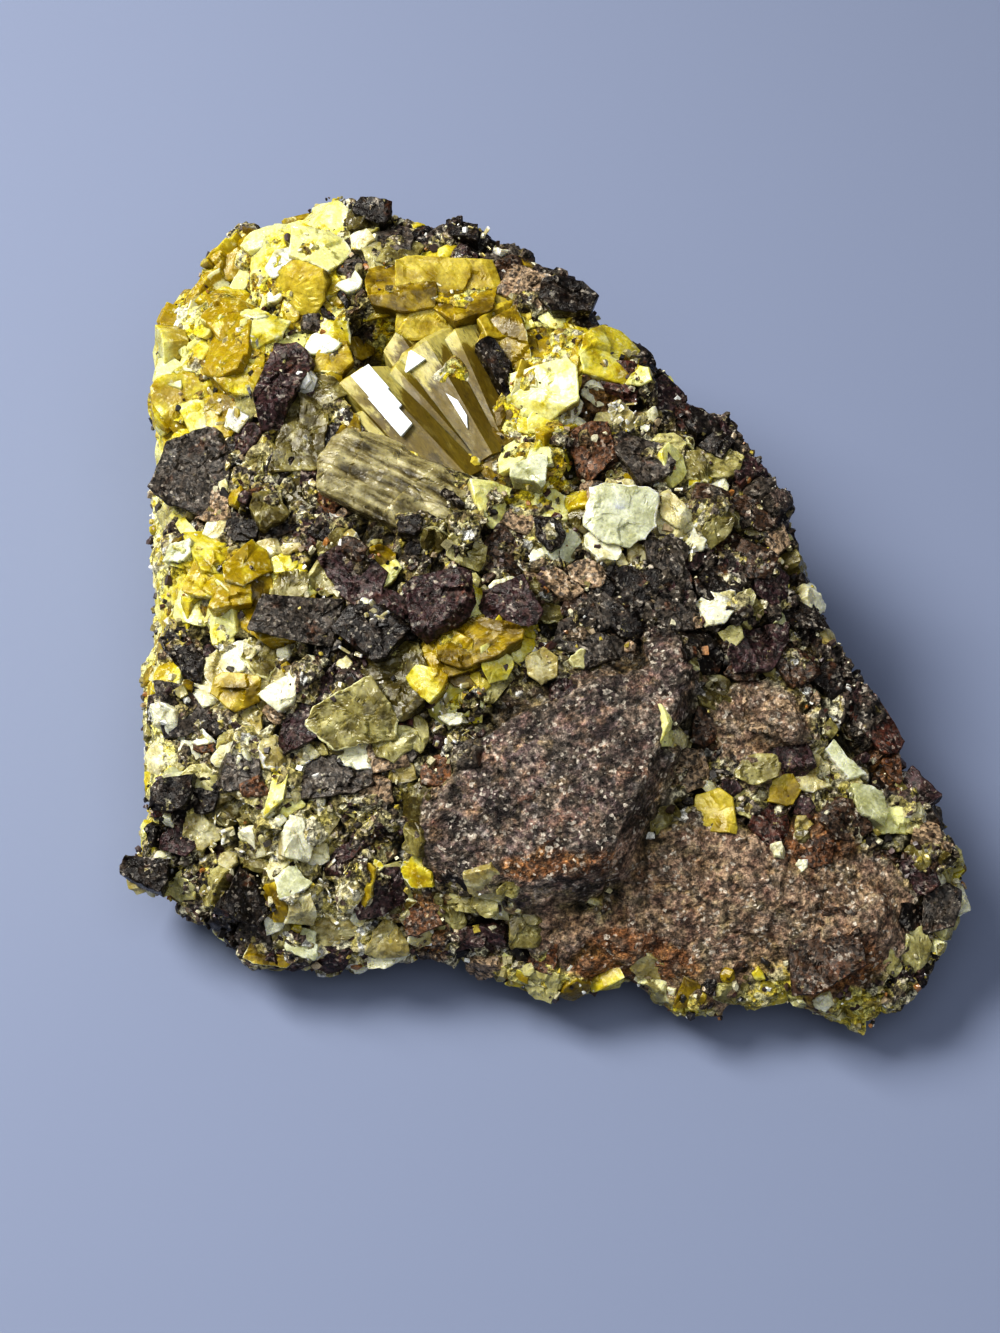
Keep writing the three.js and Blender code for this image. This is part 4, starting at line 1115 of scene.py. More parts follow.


# ---- the pieces placed one by one
# Each: x, y, length, width, rise above the rock, bearing of the long side, in mm and degrees, seen from
# above.
CLASTS = {
    "purple": [
        (-18.6, 10.8, 6.5, 2.8, 0.9, 70), (-16.1, 4.4, 3, 1.7, 0.5, 90), (8.6, 11.2, 3.6, 2.4, 0.8, -45),
        (14, 5.6, 3.2, 2.4, 0.7, -50), (-7.2, -6.2, 4.4, 3.9, 1.2, 20), (-2.2, -6.6, 4.1, 2.9, 1.1, 15),
        (-12.9, -3.9, 7.4, 3.2, 1, -46), (-15.6, -12.2, 8.6, 2.4, 1.2, 46),
        (-25.2, -19.2, 3, 2.2, 0.8, -20), (-13.4, -21, 3.6, 1.5, 0.9, 50), (-5.6, -25.4, 2.6, 1.8, 0.7, 0),
        (16.2, -14.6, 3.6, 2.8, 0.8, -20), (14.6, -7.6, 4, 3, 0.8, 10), (24.8, -21.6, 3, 2.6, 0.6, 0),
        (-11.4, -23.4, 4.6, 3.5, 1.1, 20)],
    "black": [
        (-14.7, 6.9, 3.2, 2.4, 0.8, 0), (-22.2, 6.9, 2.2, 1.8, 0.5, 0), (-16.1, 22.9, 1.5, 1, 0.4, -40),
        (-15.8, 21.2, 1.3, 0.8, 0.4, 10), (-14.4, 17.9, 1.8, 0.5, 0.6, -62),
        (-15.5, 16.9, 1.8, 0.5, 0.6, -45), (-6.4, 1.2, 1.9, 0.6, 0.6, -50),
        (-15.6, 26.6, 2.4, 1.4, 0.5, 20), (-12.6, 25.2, 2.6, 1.6, 0.7, -20),
        (-8.4, 24, 3.4, 1.6, 0.6, -10), (-5.8, 23.4, 3, 1.6, 0.5, -25), (1.6, 17.3, 4.6, 3, 0.9, -50),
        (6.4, 13.6, 3.4, 2.4, 0.8, -40), (12.2, 7.2, 2.6, 2, 0.6, -40), (11, 9, 2.8, 2, 0.7, -45),
        (11.8, -3.5, 3.4, 2.6, 0.9, 20), (-9.2, -0.6, 1.6, 1.3, 0.6, 0), (0.3, -1.3, 2.8, 1.7, 0.6, -50),
        (-21.2, 1.2, 2.6, 2.4, 0.7, 0), (-18.2, 1, 2.6, 2, 0.6, 0), (-15.6, 0.4, 2.4, 2.2, 0.6, 60),
        (-11.8, -7.8, 4.2, 3.4, 0.9, -40), (-25, -7.2, 5, 2.1, 0.9, -60), (-25.4, -17.2, 2.6, 2.2, 0.8, 0),
        (-23.2, -17, 1.9, 1.8, 0.7, 0), (-27.4, -21.2, 3.4, 2.2, 0.7, -20), (-16.9, -21, 1.8, 1, 0.3, 80),
        (-20.4, -23.6, 3.6, 2.8, 0.9, -30), (6.6, -4.4, 3.2, 2.4, 0.7, 20), (17.6, -5, 3, 2.4, 0.7, -50),
        (19.6, -9.4, 3, 2.2, 0.6, -50)],
    "grey": [
        (-24.8, 5.4, 6.2, 4.7, 1.3, 80), (-16.7, 16.4, 2.3, 1.7, 0.6, -30), (6.9, 4.8, 4, 3.4, 0.9, -60),
        (8.1, -1.5, 3.2, 2.6, 0.8, -20), (-17, -7.2, 5.4, 3, 0.9, -10), (-24.3, -11.4, 4.3, 3.5, 1, 0),
        (-13.9, -16.6, 4.6, 3.4, 0.7, 0), (4, -6.2, 3.6, 2.4, 0.6, 20), (9, -6, 3.6, 2.6, 0.7, 0),
        (3.2, -9, 3, 2, 0.5, 30), (-20.8, -16.2, 3.2, 2.6, 0.8, 0), (26.6, -23.4, 3.4, 2.6, 0.6, 90)],
    "brown": [
        (-2.6, 20.6, 2.6, 2.2, 0.6, 0), (14.2, -2.4, 4.2, 2.3, 0.8, -30), (14.6, 2, 3.4, 2.4, 0.8, -50),
        (17, -9, 3.4, 2.6, 0.7, -40), (18.4, -26.6, 6, 4.4, 0.4, 20)],
    "red": [
        (5.2, 11.2, 3.4, 2.6, 0.8, -20), (-9.8, -13.2, 1.5, 1, 0.6, -20), (21.8, -11.4, 7, 2.4, 0.5, -55)],
    "orange": [
        (3.3, 5.2, 3.9, 3.1, 1.2, -70), (-19.6, -17.3, 1.6, 1.2, 0.7, 20), (-8.5, -24.5, 2.4, 2, 0.5, 20),
        (23.6, -14.8, 2, 1.2, 0.5, -55), (18, -20.6, 2.6, 1.8, 0.4, 20), (-23.4, -13.6, 1.6, 1.2, 0.4, 0)],
    "tan": [
        (-1.2, 18.6, 4.2, 2.6, 0.6, -20), (16, 0.6, 2.8, 1.8, 0.6, -60), (3, 2.4, 2, 1.6, 0.7, 90),
        (-1.8, 0.2, 2.6, 1.8, 0.8, -20), (0.9, -4.6, 2.8, 1.6, 0.8, -40), (-11, -15.2, 2.4, 1.8, 0.6, 0),
        (13, -11.2, 1.8, 1.1, 0.6, 40), (15.9, -11.6, 1.8, 1.1, 0.6, -40), (14.6, -13.4, 2, 1, 0.6, 0),
        (25.9, -18.9, 2.4, 2, 0.6, -50)],
}
# The same, with the tone last: 0 the deepest colour of the crystal's material, 1 the palest.
CRYSTALS = {
    "lemon": [
        (-22.8, 17.2, 4.6, 3, 0.5, 60, 0.05), (-21.3, 11.9, 3.9, 2.6, 0.9, 62, 0.15),
        (-20.2, 24.1, 4, 2.4, 0.6, 30, 0.85), (-22.1, 22, 2.6, 1.8, 0.6, 50, 0.9),
        (-20.1, 15.4, 3.6, 2.6, 0.9, 20, 0.75), (-24.9, 10.4, 3, 2.6, 0.9, 10, 0.65),
        (-15.7, 19.2, 3.2, 2.8, 0.8, -60, 0.2), (-18.3, 17.9, 2, 1.5, 0.6, 70, 0.2),
        (-23.7, 11.4, 2.2, 1.6, 0.5, 20, 0.15), (-25.6, 16.4, 2.6, 2.2, 0.6, 60, 0.8),
        (-27, 13.4, 2.6, 2.2, 0.6, 80, 0.9), (-17.6, 24, 2.8, 2, 0.6, 10, 0.6),
        (-0.1, 8, 2.6, 2, 1, 90, 0.7), (-11, -3.4, 2.6, 1.4, 0.9, 40, 0.8),
        (-7.9, -11.4, 2.7, 2.1, 1.2, -40, 0.4), (-23.4, -2.8, 3.6, 3, 1, -20, 0.3),
        (-21.6, -4.6, 3.4, 2.8, 1.1, 30, 0.1), (-24.6, -4.4, 3, 2.4, 0.8, 80, 0.8),
        (-22.4, -6.4, 2.6, 2, 0.7, 20, 0.7), (-18.2, -17.5, 3.4, 1, 0.9, 80, 0.8),
        (-17.2, -18.3, 2.6, 0.9, 0.8, 30, 0.7), (-8.7, -21.9, 2.8, 2.4, 0.8, 0, 0.4),
        (2.3, 1.8, 2.2, 2.4, 1, 60, 0.2), (-0.4, 4.1, 2, 1.8, 1, 0, 0.8), (23.6, -18, 2.6, 2, 0.5, 0, 1),
        (-25.4, 1.8, 5.4, 1.1, 0.9, -55, 0.75)],
    "amber": [
        (-3.8, 5.2, 3.6, 2.8, -0.9, -50, 0), (-2.9, 7.4, 2.4, 2, -0.6, -40, 0.1),
        (-3.4, 3, 2.2, 1.6, -0.4, 0, 0.2), (-4.9, -8.8, 6.2, 3.4, 0.6, 10, 0.2),
        (-19.6, -3.4, 2.8, 2.3, 0.9, 60, 0.2), (-21, -10.5, 3.7, 3.4, 1, -50, 0.55),
        (-18.8, -26, 3.6, 1.3, 0.6, -15, 0.4), (-5.6, -10.6, 3, 2, 0.4, 0, 0)],
    "olive": [
        (-17.4, 7.2, 6, 3.9, 1.2, 80, 0.2), (-10.4, 22, 4.5, 3, 0.6, -10, 0.5),
        (10.2, 5.6, 4.4, 1.9, 0.8, -65, 0.4), (11.8, 0.2, 4.2, 1.9, 1, 80, 0.5),
        (-3.4, -11.2, 3.9, 1.3, 1.3, 55, 0.6), (-17.6, -3.9, 3, 2.6, 0.7, 70, 0.3),
        (-19.4, -8.4, 3.2, 2.8, 0.8, -30, 0.4), (-12.9, -13, 6, 3.6, 0.9, 20, 0.55),
        (-10.6, -14.2, 3.4, 2.6, 0.7, -30, 0.6), (-19.6, -20.8, 2.6, 2, 0.7, 0, 0.4),
        (-5.8, -23.6, 2, 1.8, 0.8, 0, 0.6), (-4.2, -24, 2, 1.7, 0.8, 20, 0.5),
        (-2.6, -23.8, 1.8, 1.6, 0.8, 0, 0.6), (-1.4, -25, 3, 2.6, 0.6, 0, 0.3),
        (14, -16, 2.8, 2, 0.5, 0, 0.6)],
    "cream": [
        (-18.9, 21.1, 2.7, 1.9, 0.9, 30, 1), (-24.2, 13.6, 2, 1.2, 0.9, 35, 1),
        (-19.5, 18.9, 1.3, 1, 0.9, 0, 1), (-22, 9.4, 2.2, 1.5, 0.9, 60, 1),
        (-20.7, 14.2, 1, 0.8, 1.1, 0, 1), (5.4, 8.8, 3, 2, 0.7, -30, 0.3),
        (1.8, 8.8, 3.6, 1.2, 0.8, 60, 0.9), (8.8, 0.8, 3.6, 1.4, 0.8, -50, 0.5),
        (10.4, -0.7, 3.6, 1.3, 0.9, 60, 0.95), (12.4, -5.2, 1.8, 1.4, 0.9, 20, 0.6),
        (13.8, -4.8, 1.5, 1.2, 0.8, -20, 0.5), (-23, 1.3, 2.4, 1.6, 0.7, 60, 0.6),
        (-19.4, -0.7, 2.2, 1.5, 0.7, 20, 0.4), (-17.6, -0.6, 2.2, 1.2, 0.5, 30, 0.3),
        (-22.4, -8.6, 3.4, 2.6, 0.7, -20, 0.5), (-23.4, -13.1, 1.8, 1.4, 1, 0, 1),
        (-17.8, -11.5, 3.5, 1.8, 1, 35, 0.9), (-6.2, -13.2, 2.3, 0.8, 0.9, 10, 1),
        (-18.2, -21.4, 2.4, 1.8, 0.8, 30, 0.5), (-15.5, -20.6, 2.2, 1.8, 0.8, -10, 0.5),
        (-18.4, -24.3, 1.9, 1.6, 0.9, 20, 1), (-11, -26.2, 3.4, 1.2, 0.7, 0, 0.8),
        (15.4, -20.8, 1.3, 1, 0.5, 0, 0.7), (17.2, -21.6, 1, 0.8, 0.5, 30, 0.8),
        (-13.9, 4.6, 2.6, 2, 1, 70, 0.8), (-12.6, 2.9, 2.8, 1.2, 0.7, 0, 1)],
    "mint": [
        (5, 0.2, 5.5, 3.9, 1.1, -5, 0.5), (-25.4, -0.6, 3, 1.8, 0.7, 0, 0.5),
        (-0.9, 2.8, 2.8, 2.4, 1.1, 0, 0.6), (-17, -23, 2.4, 1.8, 0.8, 40, 0.4),
        (-16.6, -25.4, 2.6, 1.8, 0.7, -20, 0.4), (20.2, -14.8, 3.6, 1.2, 0.6, -50, 0.5),
        (21.8, -17.4, 3, 2.4, 0.8, 90, 0.2), (-16, 14.4, 2, 2.2, 0.9, 60, 0.7)],
}
# Great facets of the vug's walls: x, y and height of the middle, length, width, way it faces, tone, tint.
VUG_BLOCKS = [(-6.9, 17.4, 21.3, 7.8, 5.6, (0.05, -0.45, 0.88), 0.7, "amber"),
              (-3.4, 15.7, 20.5, 3.4, 2.6, (0.15, -0.4, 0.9), 0.7, "amber"),
              (-11.2, 18.2, 21, 3.4, 2.6, (-0.1, -0.35, 0.93), 0.25, "lemon"),
              (-13.8, 16.6, 18.8, 3, 3.4, (0.55, -0.3, 0.78), 0.3, "amber"),
              (-13.9, 12.8, 17.2, 3.2, 3, (0.5, 0.1, 0.85), 0.05, "amber"),
              (-12, 14.4, 16.2, 3.6, 3.2, (0.2, -0.2, 0.95), 0.1, "amber"),
              (-1, 12.4, 20.4, 3, 2.4, (-0.2, -0.25, 0.95), 0.55, "olive"),
              (-8.6, 20, 21.5, 1.6, 1, (0, -0.2, 1), 0.9, "cream"),
              (-7.2, 20.2, 21.6, 1.5, 1, (0.1, -0.3, 1), 1, "cream"),
              (-5.9, 19.6, 21.6, 1.4, 0.9, (0.1, -0.2, 1), 0.8, "cream"),
              (-9.9, 19.4, 21.4, 1.3, 0.9, (-0.1, -0.2, 1), 0.8, "cream")]
# Smooth hollows that no filling plate covers, seen from above: x, y, reach.
BARE_HOLLOWS = [(-12.6, 15.4, 2.8), (-4, 4.6, 2.8)]
# Great prisms across the vug: foot, tip, width, flatness, tone.
VUG_PRISMS = [((-5.6, 3.6, 17.9), (-12.9, 11.6, 19.6), 4.2, 0.75, 0.55),
              ((-5.2, 5.4, 18.1), (-11, 12, 19.8), 3, 0.75, 0.35),
              ((-8, 4, 17.7), (-12.6, 9.2, 19.2), 2.2, 0.9, 0.6),
              ((-3.9, 5.6, 18.1), (-8.9, 14.6, 20.1), 4.2, 0.7, 0.45),
              ((-3, 7, 18.3), (-6.4, 15.2, 20.2), 3, 0.75, 0.55),
              ((-6.2, 8.2, 17.8), (-10.6, 15.4, 19.2), 2.8, 0.8, 0.2)]
PRISM_CLEARANCE = 0.4        # the vug's lining keeps this far from its great prisms, seen from above
# Flat facets on the prisms, coloured bluish white as a painted reflection: x, y, length, width, bearing, lift
# over what they lie on, and where the side opposite the base begins and ends, as shares of the length.
PAINTED_GLINTS = [(-12.2, 10.3, 2.8, 1.5, -54, 0.2, 0.1, 0.96), (-11.1, 8.8, 2.2, 1.5, -54, 0.3, 0.12, 0.96),
           (-10.2, 7.5, 2.2, 1.2, -54, 0.4, 0.1, 0.92), (-9.3, 12.5, 1.9, 1.2, 32, 0.3, 0.62, 0.74),
           (-6, 8.6, 3.2, 0.46, -64, 0.12, 0.3, 0.72)]
# The dark lath at the vug's back: middle, the way it faces, its long direction, length, width, rise.
VUG_LATH = ((-3.4, 12.2, 20.3), (0.2, -0.1, 1.0), (0.53, -0.85, 0.0), 7.0, 1.5, 0.9)
# Where thin shards lie about: x, y, reach, how many.
SHARD_NESTS = [(-11.8, -7.8, 2.4, 26), (-21.9, -19, 1.8, 18), (-15.6, -22.8, 1.8, 16), (5.4, 8.8, 1.4, 16),
               (-12.8, 3.2, 1.8, 22), (-6.4, -13.4, 1.6, 16), (9.4, 0, 2, 14), (-22.6, 10, 2.2, 18),
               (-6, 22.6, 3, 16)]
# Two hexagonal crystals, one in the other, that point at the viewer: foot, width, length, tone.
HEXAGONS = [((-16.8, 12.6, 17.8), 2.0, 3.0, 0.0), ((-16.8, 12.5, 18.0), 1.35, 3.3, 0.8)]
HEXAGON_WAY = (-0.1, -0.5, 0.85)
# The striated mass beside the vug: its outline seen from above, height, bearing, facets (height in the
# middle and slope along and across), and the oval that the filling plates leave free for it.
MASS_OUTLINE = [(-15.8, 2.3), (-12.8, 0.7), (-8.8, -1), (-5.9, -1.1), (-4.4, 0.4), (-4.5, 2.6),
                (-6.4, 5.2), (-9.6, 6.4), (-12.6, 7.2), (-14.9, 6.2), (-15.9, 4.4)]
MASS_HEIGHT = 19.2
MASS_BEARING = -26
MASS_FACETS = [(1.4, 0.02, 0.0), (2.2, -0.1, 0.60), (1.9, 0.0, -0.50), (3.0, -0.40, 0.1), (2.9, 0.35, 0.0),
               (2.6, 0.0, -0.9)]
MASS_MIDDLE = (-10.0, 2.8)
MASS_REACH = (6.6, 4.2)
# How often the filling plates are of each kind of rock: elsewhere, in the dark regions.
FILL_KINDS = {"purple": (22, 20), "grey": (24, 10), "brown": (18, 12), "black": (20, 66), "tan": (22, 3),
              "orange": (4, 1), "red": (3, 3)}
# How often the filling plates are of each tint: anywhere, then more in the regions.
FILL_TINTS = {
    "clast": (0.42, {"dark": 2.4, "lemon": -0.40, "cream": -0.25, "olive": -0.2}),
    "lemon": (0.06, {"lemon": 2.8, "vein": 3.0, "seam": 1.6}),
    "amber": (0.04, {"lemon": 0.30, "seam": 1.2, "hollow": 3.0}),
    "olive": (0.30, {"olive": 1.8, "lemon": -0.26, "cream": 0.30, "seam": 1.2}),
    "cream": (0.17, {"cream": 1.9, "lemon": -0.08, "olive": 0.3, "vein": 1.5, "seam": 0.8}),
    "mint": (0.02, {"cream": 0.20}),
}

# ---- styles and groups
# What a kind of plate looks like: cap, the most slope of its flat top; slope and begins, the slopes of the
# facets round it and where they begin, in radii; rough, the height of its grain; broken, how strongly its
# top is broken into large and small facets; ragged, how far noise moves its outline; depth, how deep its
# hidden foot lies.
STYLE_PARTS = ("cap", "slope", "begins", "rough", "broken", "ragged", "depth")
STYLE_ROWS = {
    "clast": (0.22, (0.2, 1.3), (0.55, 1.4), 0.03, (0.14, 0.12), 0.14, 1.3),
    "block": (0.24, (0.1, 0.7), (0.30, 1.3), 0.01, (0.16, 0.05), 0.10, 1.4),
    "sheet": (0.20, (0.2, 1.0), (0.50, 1.4), 0.05, (0.20, 0.20), 0.18, 1.3),
    "knob": (0.26, (0.3, 1.0), (0.45, 1.4), 0.03, (0.20, 0.20), 0.18, 1.3),
    "flat": (0.10, (0.2, 0.8), (0.75, 1.5), 0.02, (0.07, 0.08), 0.24, 1.3),
    "facet": (0.0, (0.0, 0.1), (1.5, 2.0), 0.0, (0.0, 0.0), 0.0, 0.6),
}
STYLES = {name: dict(zip(STYLE_PARTS, row)) for name, row in STYLE_ROWS.items()}
STYLE_OF = {"clast": "clast", "lemon": "block", "amber": "block", "olive": "sheet", "cream": "knob",
            "mint": "flat"}
GROUPS = {"shoulder_crust": "lemon", "right_cluster": "lemon", "east_druse": "olive",
          "centre_pocket_crystals": "lemon", "left_face_crystals": "lemon", "lower_left_druse": "cream",
          "front_seam": "amber", "left_edge_vein": "lemon", "pale_crystals": "cream"}


# ---- building the pieces
def make_materials():
    white = (0.84, 0.83, 0.74)
    looks = {
        "lemon": ("lemon_crystal", (0.38, 0.27, 0.003), (0.62, 0.53, 0.040), (0.78, 0.76, 0.34),
                  (0.84, 0.83, 0.58), 0.45, {"dirt": 0.12}),
        "amber": ("amber_crystal", (0.15, 0.098, 0.001), (0.37, 0.265, 0.004), (0.58, 0.47, 0.06),
                  (0.88, 0.86, 0.56), 0.05, {"dirt": 0.3, "gloss": (0.26, 0.48)}),
        "olive": ("olive_crystal", (0.09, 0.070, 0.016), (0.25, 0.215, 0.070), (0.50, 0.46, 0.21),
                  (0.78, 0.75, 0.44), 0.25, {}),
        "cream": ("cream_crystal", (0.38, 0.31, 0.11), (0.62, 0.57, 0.32), (0.80, 0.78, 0.58), white, 0.2,
                  {"dirt": 0.5, "gloss": (0.14, 0.40)}),
        "straw": ("straw_crystal", (0.080, 0.062, 0.024), (0.26, 0.220, 0.10), (0.48, 0.43, 0.24),
                  (0.66, 0.62, 0.42), 0.2, {}),
        "mint": ("mint_crystal", (0.40, 0.40, 0.20), (0.62, 0.63, 0.42), (0.78, 0.79, 0.62), white, 0.3,
                 {"dirt": 0.3}),
        "crisp": ("crisp_crystal", (0.50, 0.42, 0.18), (0.78, 0.75, 0.55), (0.90, 0.90, 0.84), white, 0.2,
                  {"dirt": 0.1, "gloss": (0.08, 0.25), "scatter": 0.3}),
        "honey": ("honey_crystal", (0.12, 0.078, 0.002), (0.27, 0.200, 0.008), (0.44, 0.350, 0.035),
                  (0.56, 0.49, 0.16), 0.15, {"gloss": (0.42, 0.62), "scatter": 0.5, "clearness": 0.08,
                                             "tilt": 0.12, "grain": PRISM_GRAIN}),
        # Painted reflection: the glint facets' bluish white stands in for the light that they mirror.
        "glint": ("painted_glint_facet", (0.62, 0.70, 0.76), (0.72, 0.80, 0.86), (0.86, 0.90, 0.94), white, 0.0,
                  {"dirt": 0.0, "gloss": (0.14, 0.30), "scatter": 0.1, "tilt": 0.05, "grain": PRISM_GRAIN}),
    }
    materials = {tint: crystal_material(*common, **special) for tint, (*common, special) in looks.items()}
    materials["clast"] = clast_material()
    return materials


def make_rock():
    rock = make_rock_skin()
    attributes = [("ridge", rock.ridge), ("sunk", rock.sunk)] + list(rock.masks.items())
    obj = mesh_object("gossan_rock", rock.vertices, [rock.quads], [skin_material()], [0], attributes)
    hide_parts("goethite_matrix")
    return rock


def clast_tone(kind):
    """The tone that stands for a kind of rock in the clasts' material."""
    return (list(ROCK_KINDS).index(kind) + 0.5) / len(ROCK_KINDS)


def grain_in_plan(rock, row, tint, tone, rim, rng):
    """A plate from a row of the tables. row: x, y, length, width, rise and bearing."""
    x, y, length, width, rise, bearing = row[:6]
    point, normal = seen_from_above(rock.tree, x, y)
    upright = np.array(normal) * 0.7 + np.array((0.0, 0.0, 0.6)) + rng.normal(size=3) * 0.05
    outline = angular_outline(length, width, rng, 4 if tint == "clast" else 6)
    style = STYLES[STYLE_OF[tint]]
    return Grain(point, upright, in_plan(bearing), outline, style, rise * RISE_KEPT, tone, rim, rng)


def hand_placed(rock):
    """(tint, plate) for each row of the tables."""
    rng = np.random.default_rng(41)
    placed = []
    for kind, table in CLASTS.items():
        for row in table:
            placed.append(("clast", grain_in_plan(rock, row, "clast", clast_tone(kind), 0.0, rng)))
    for tint, table in CRYSTALS.items():
        for row in table:
            placed.append((tint, grain_in_plan(rock, row, tint, row[6], rng.uniform(0.0, 0.9), rng)))
    return placed


def fill_cover(rock):
    """How thickly filling plates lie at each of the skin's vertices: in patches, and thinly between
    them."""
    mm = rock.surface / MM
    patches = np.maximum(step(-0.05, 0.12, rough_noise(mm, 4.2, 811, 2)), rock.masks["lemon"])
    fine = np.maximum(rock.masks["vein"], rock.masks["seam"])
    cover = rock.plated * (0.04 + 0.96 * patches) * (1 - 0.8 * fine)
    for x, y, bare in BARE_HOLLOWS:
        cover = cover * step(0.8 * bare, 1.2 * bare, np.hypot(mm[:, 0] - x, mm[:, 1] - y))
    return cover


def fill_clast_tone(dark, rng):
    """The tone of a filling clast, of a kind picked by chance, in a dark region or elsewhere."""
    chance = np.array([kinds[int(dark)] for kinds in FILL_KINDS.values()])
    return clast_tone(list(FILL_KINDS)[rng.choice(len(FILL_KINDS), p=chance / chance.sum())])


def filling(rock, placed):
    """(tint, plate) for the plates that fill the surface between the listed ones."""
    rng = np.random.default_rng(57)
    large = np.array([grain.place for _, grain in placed])
    reach = np.array([grain.radius for _, grain in placed])

    def blocked(points, radii):
        distance = np.linalg.norm(points[:, None] - large[None], axis=2)
        return (distance < 0.66 * reach[None] + 0.20 * radii[:, None]).any(axis=1)

    sizes = mostly_small(FILL_TRIES, *FILL_RADII, 3.5, rng)
    points, normals, radii, numbers = packed_places(rock, fill_cover(rock), sizes, rng, blocked, LEMON_GROWTH)
    crystal = rock.masks["lemon"][numbers]
    normals = unit(normals + rng.normal(size=normals.shape) * (0.13 - 0.05 * crystal[:, None]))
    along = square_to(normals, rng.normal(size=normals.shape))
    loose = np.maximum(0, rough_noise(points, 2.2, 621, 2)) * (1 - crystal)
    outlines = cell_outlines(points, normals, along, radii, rng, 0.9 * loose - 0.34)
    grains = []
    for k, tint in enumerate(tints_at(rock, points, numbers, rng)):
        tone, rim = rng.uniform(), rng.uniform(-0.2, 0.8)
        if tint == "clast":
            tone, rim = fill_clast_tone(rock.masks["dark"][numbers[k]] > 0.5, rng), 0.0
        grains.append((tint, Grain(points[k] * MM, normals[k], along[k], outlines[k], STYLES[STYLE_OF[tint]],
                                   rng.normal() * 0.11, tone, rim, rng)))
    return grains


def tints_at(rock, points, numbers, rng):
    """A tint for each place, by region, in patches."""
    chances = []
    for salt, (anywhere, more) in enumerate(FILL_TINTS.values()):
        chance = np.full(len(points), anywhere)
        for region, extra in more.items():
            chance = chance + extra * rock.masks[region][numbers]
        chances.append(np.maximum(chance, 0.005) * np.exp(1.6 * rough_noise(points, 3.2, 601 + salt, 2)))
    chances = np.array(chances).T
    chances /= chances.sum(axis=1, keepdims=True)
    draws = rng.uniform(size=(len(points), 1))
    picks = (np.cumsum(chances, axis=1) < draws).sum(axis=1)
    names = list(FILL_TINTS)
    return [names[min(pick, len(names) - 1)] for pick in picks]


def group_of(place, boxes):
    """The CAD group whose box holds a place in mm, if any."""
    for node, (low, high) in boxes.items():
        if np.all(place > low - GROUP_MARGIN[0]) and np.all(place < high + GROUP_MARGIN[1]):
            return node
    return None


def make_plates(rock, materials):
    placed = hand_placed(rock)
    filled = filling(rock, placed)
    boxes = {node: [np.array(corner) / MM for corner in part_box(node)] for node in GROUPS}
    pieces = {}
    for grains, spacing, clasts in ((placed, 0.20, "gossan_clasts"), (filled, 0.30, "small_clasts")):
        for tint, grain in grains:
            name = clasts if tint == "clast" else group_of(grain.place, boxes) or tint + "_crystals"
            pieces.setdefault(name, {}).setdefault((tint, spacing), []).append(grain)
    for name, sorted_grains in pieces.items():
        parts = [(tint, plates(grains, spacing)) for (tint, spacing), grains in sorted_grains.items()]
        if name in GROUPS:
            piece(name + "_plates", parts, materials, [name])
        else:
            piece(name, parts, materials)


def striated_mass():
    """The olive mass beside the vug: one big plate, rounded, with fine lengthwise grooves."""
    corners = np.array(MASS_OUTLINE)
    middle = corners.mean(axis=0)
    forward = in_plan(MASS_BEARING)
    sideways = np.array((-forward[1], forward[0]))
    outline = np.stack([(corners - middle) @ forward[:2], (corners - middle) @ sideways], axis=1)
    style = dict(STYLES["sheet"], rough=0.0, broken=(0.15, 0.0), ragged=0.12, depth=2.4)
    grain = Grain(np.append(middle, MASS_HEIGHT) * MM, (0.05, -0.12, 1.0), forward, outline, style, 0.0, 0.5,
                  0.4, np.random.default_rng(71))
    grain.facets = np.array(MASS_FACETS)
    part = plates([grain], 0.15, 0.10)
    mm = part["vertices"] / MM
    stretched = np.stack([(mm - grain.place) @ grain.along * 0.13, (mm - grain.place) @ grain.across,
                          np.zeros(len(mm))], axis=1)
    grooves = rough_noise(stretched, 0.42, 701)
    lumps = rough_noise(mm, 1.5, 711)
    lift = np.where(part["tip"] > 0.5, 0.16 * grooves + 0.22 * lumps, 0.0)
    part["vertices"] = part["vertices"] + grain.normal * (lift * MM)[:, None]
    # The tone follows the same noise as the lift: deeper-coloured in the grooves, paler on what stands out.
    part["tone"] = np.clip(0.5 + 0.7 * grooves + 0.3 * lumps, 0, 1)
    return part


def in_the_way(points):
    """True for places, in mm, that would stand before the vug's great prisms or facets."""
    hidden = np.zeros(len(points), dtype=bool)
    for foot, tip, width, *_ in VUG_PRISMS:
        foot, tip = np.array(foot)[:2], np.array(tip)[:2]
        share = np.clip((points[:, :2] - foot) @ (tip - foot) / ((tip - foot) @ (tip - foot)), 0, 1)
        nearest = foot + share[:, None] * (tip - foot)
        hidden |= np.linalg.norm(points[:, :2] - nearest, axis=1) < width / 2 + PRISM_CLEARANCE
    for x, y, z, length, *_ in VUG_BLOCKS:
        hidden |= np.linalg.norm(points - np.array((x, y, z)), axis=1) < length / 2
    for x, y, reach in BARE_HOLLOWS:
        hidden |= np.hypot(points[:, 0] - x, points[:, 1] - y) < reach
    return hidden


def great_prisms(rng):
    """The vug's great prisms, each from its foot to its tip."""
    parts = []
    for foot, tip, width, flatness, tone in VUG_PRISMS:
        way = np.array(tip) - np.array(foot)
        length = np.linalg.norm(way)
        bearing = np.array([math.atan2(way[1], way[0]) - math.pi / 2])
        parts.append(prisms(np.array([foot]) * MM, unit(way)[None], np.array([width * MM]),
                            np.array([length * MM]), rng, [tone], bearing, uneven=0.16, taper=0.97,
                            bevel=0.10, slant=0.35, flat=flatness))
    return joined(parts)


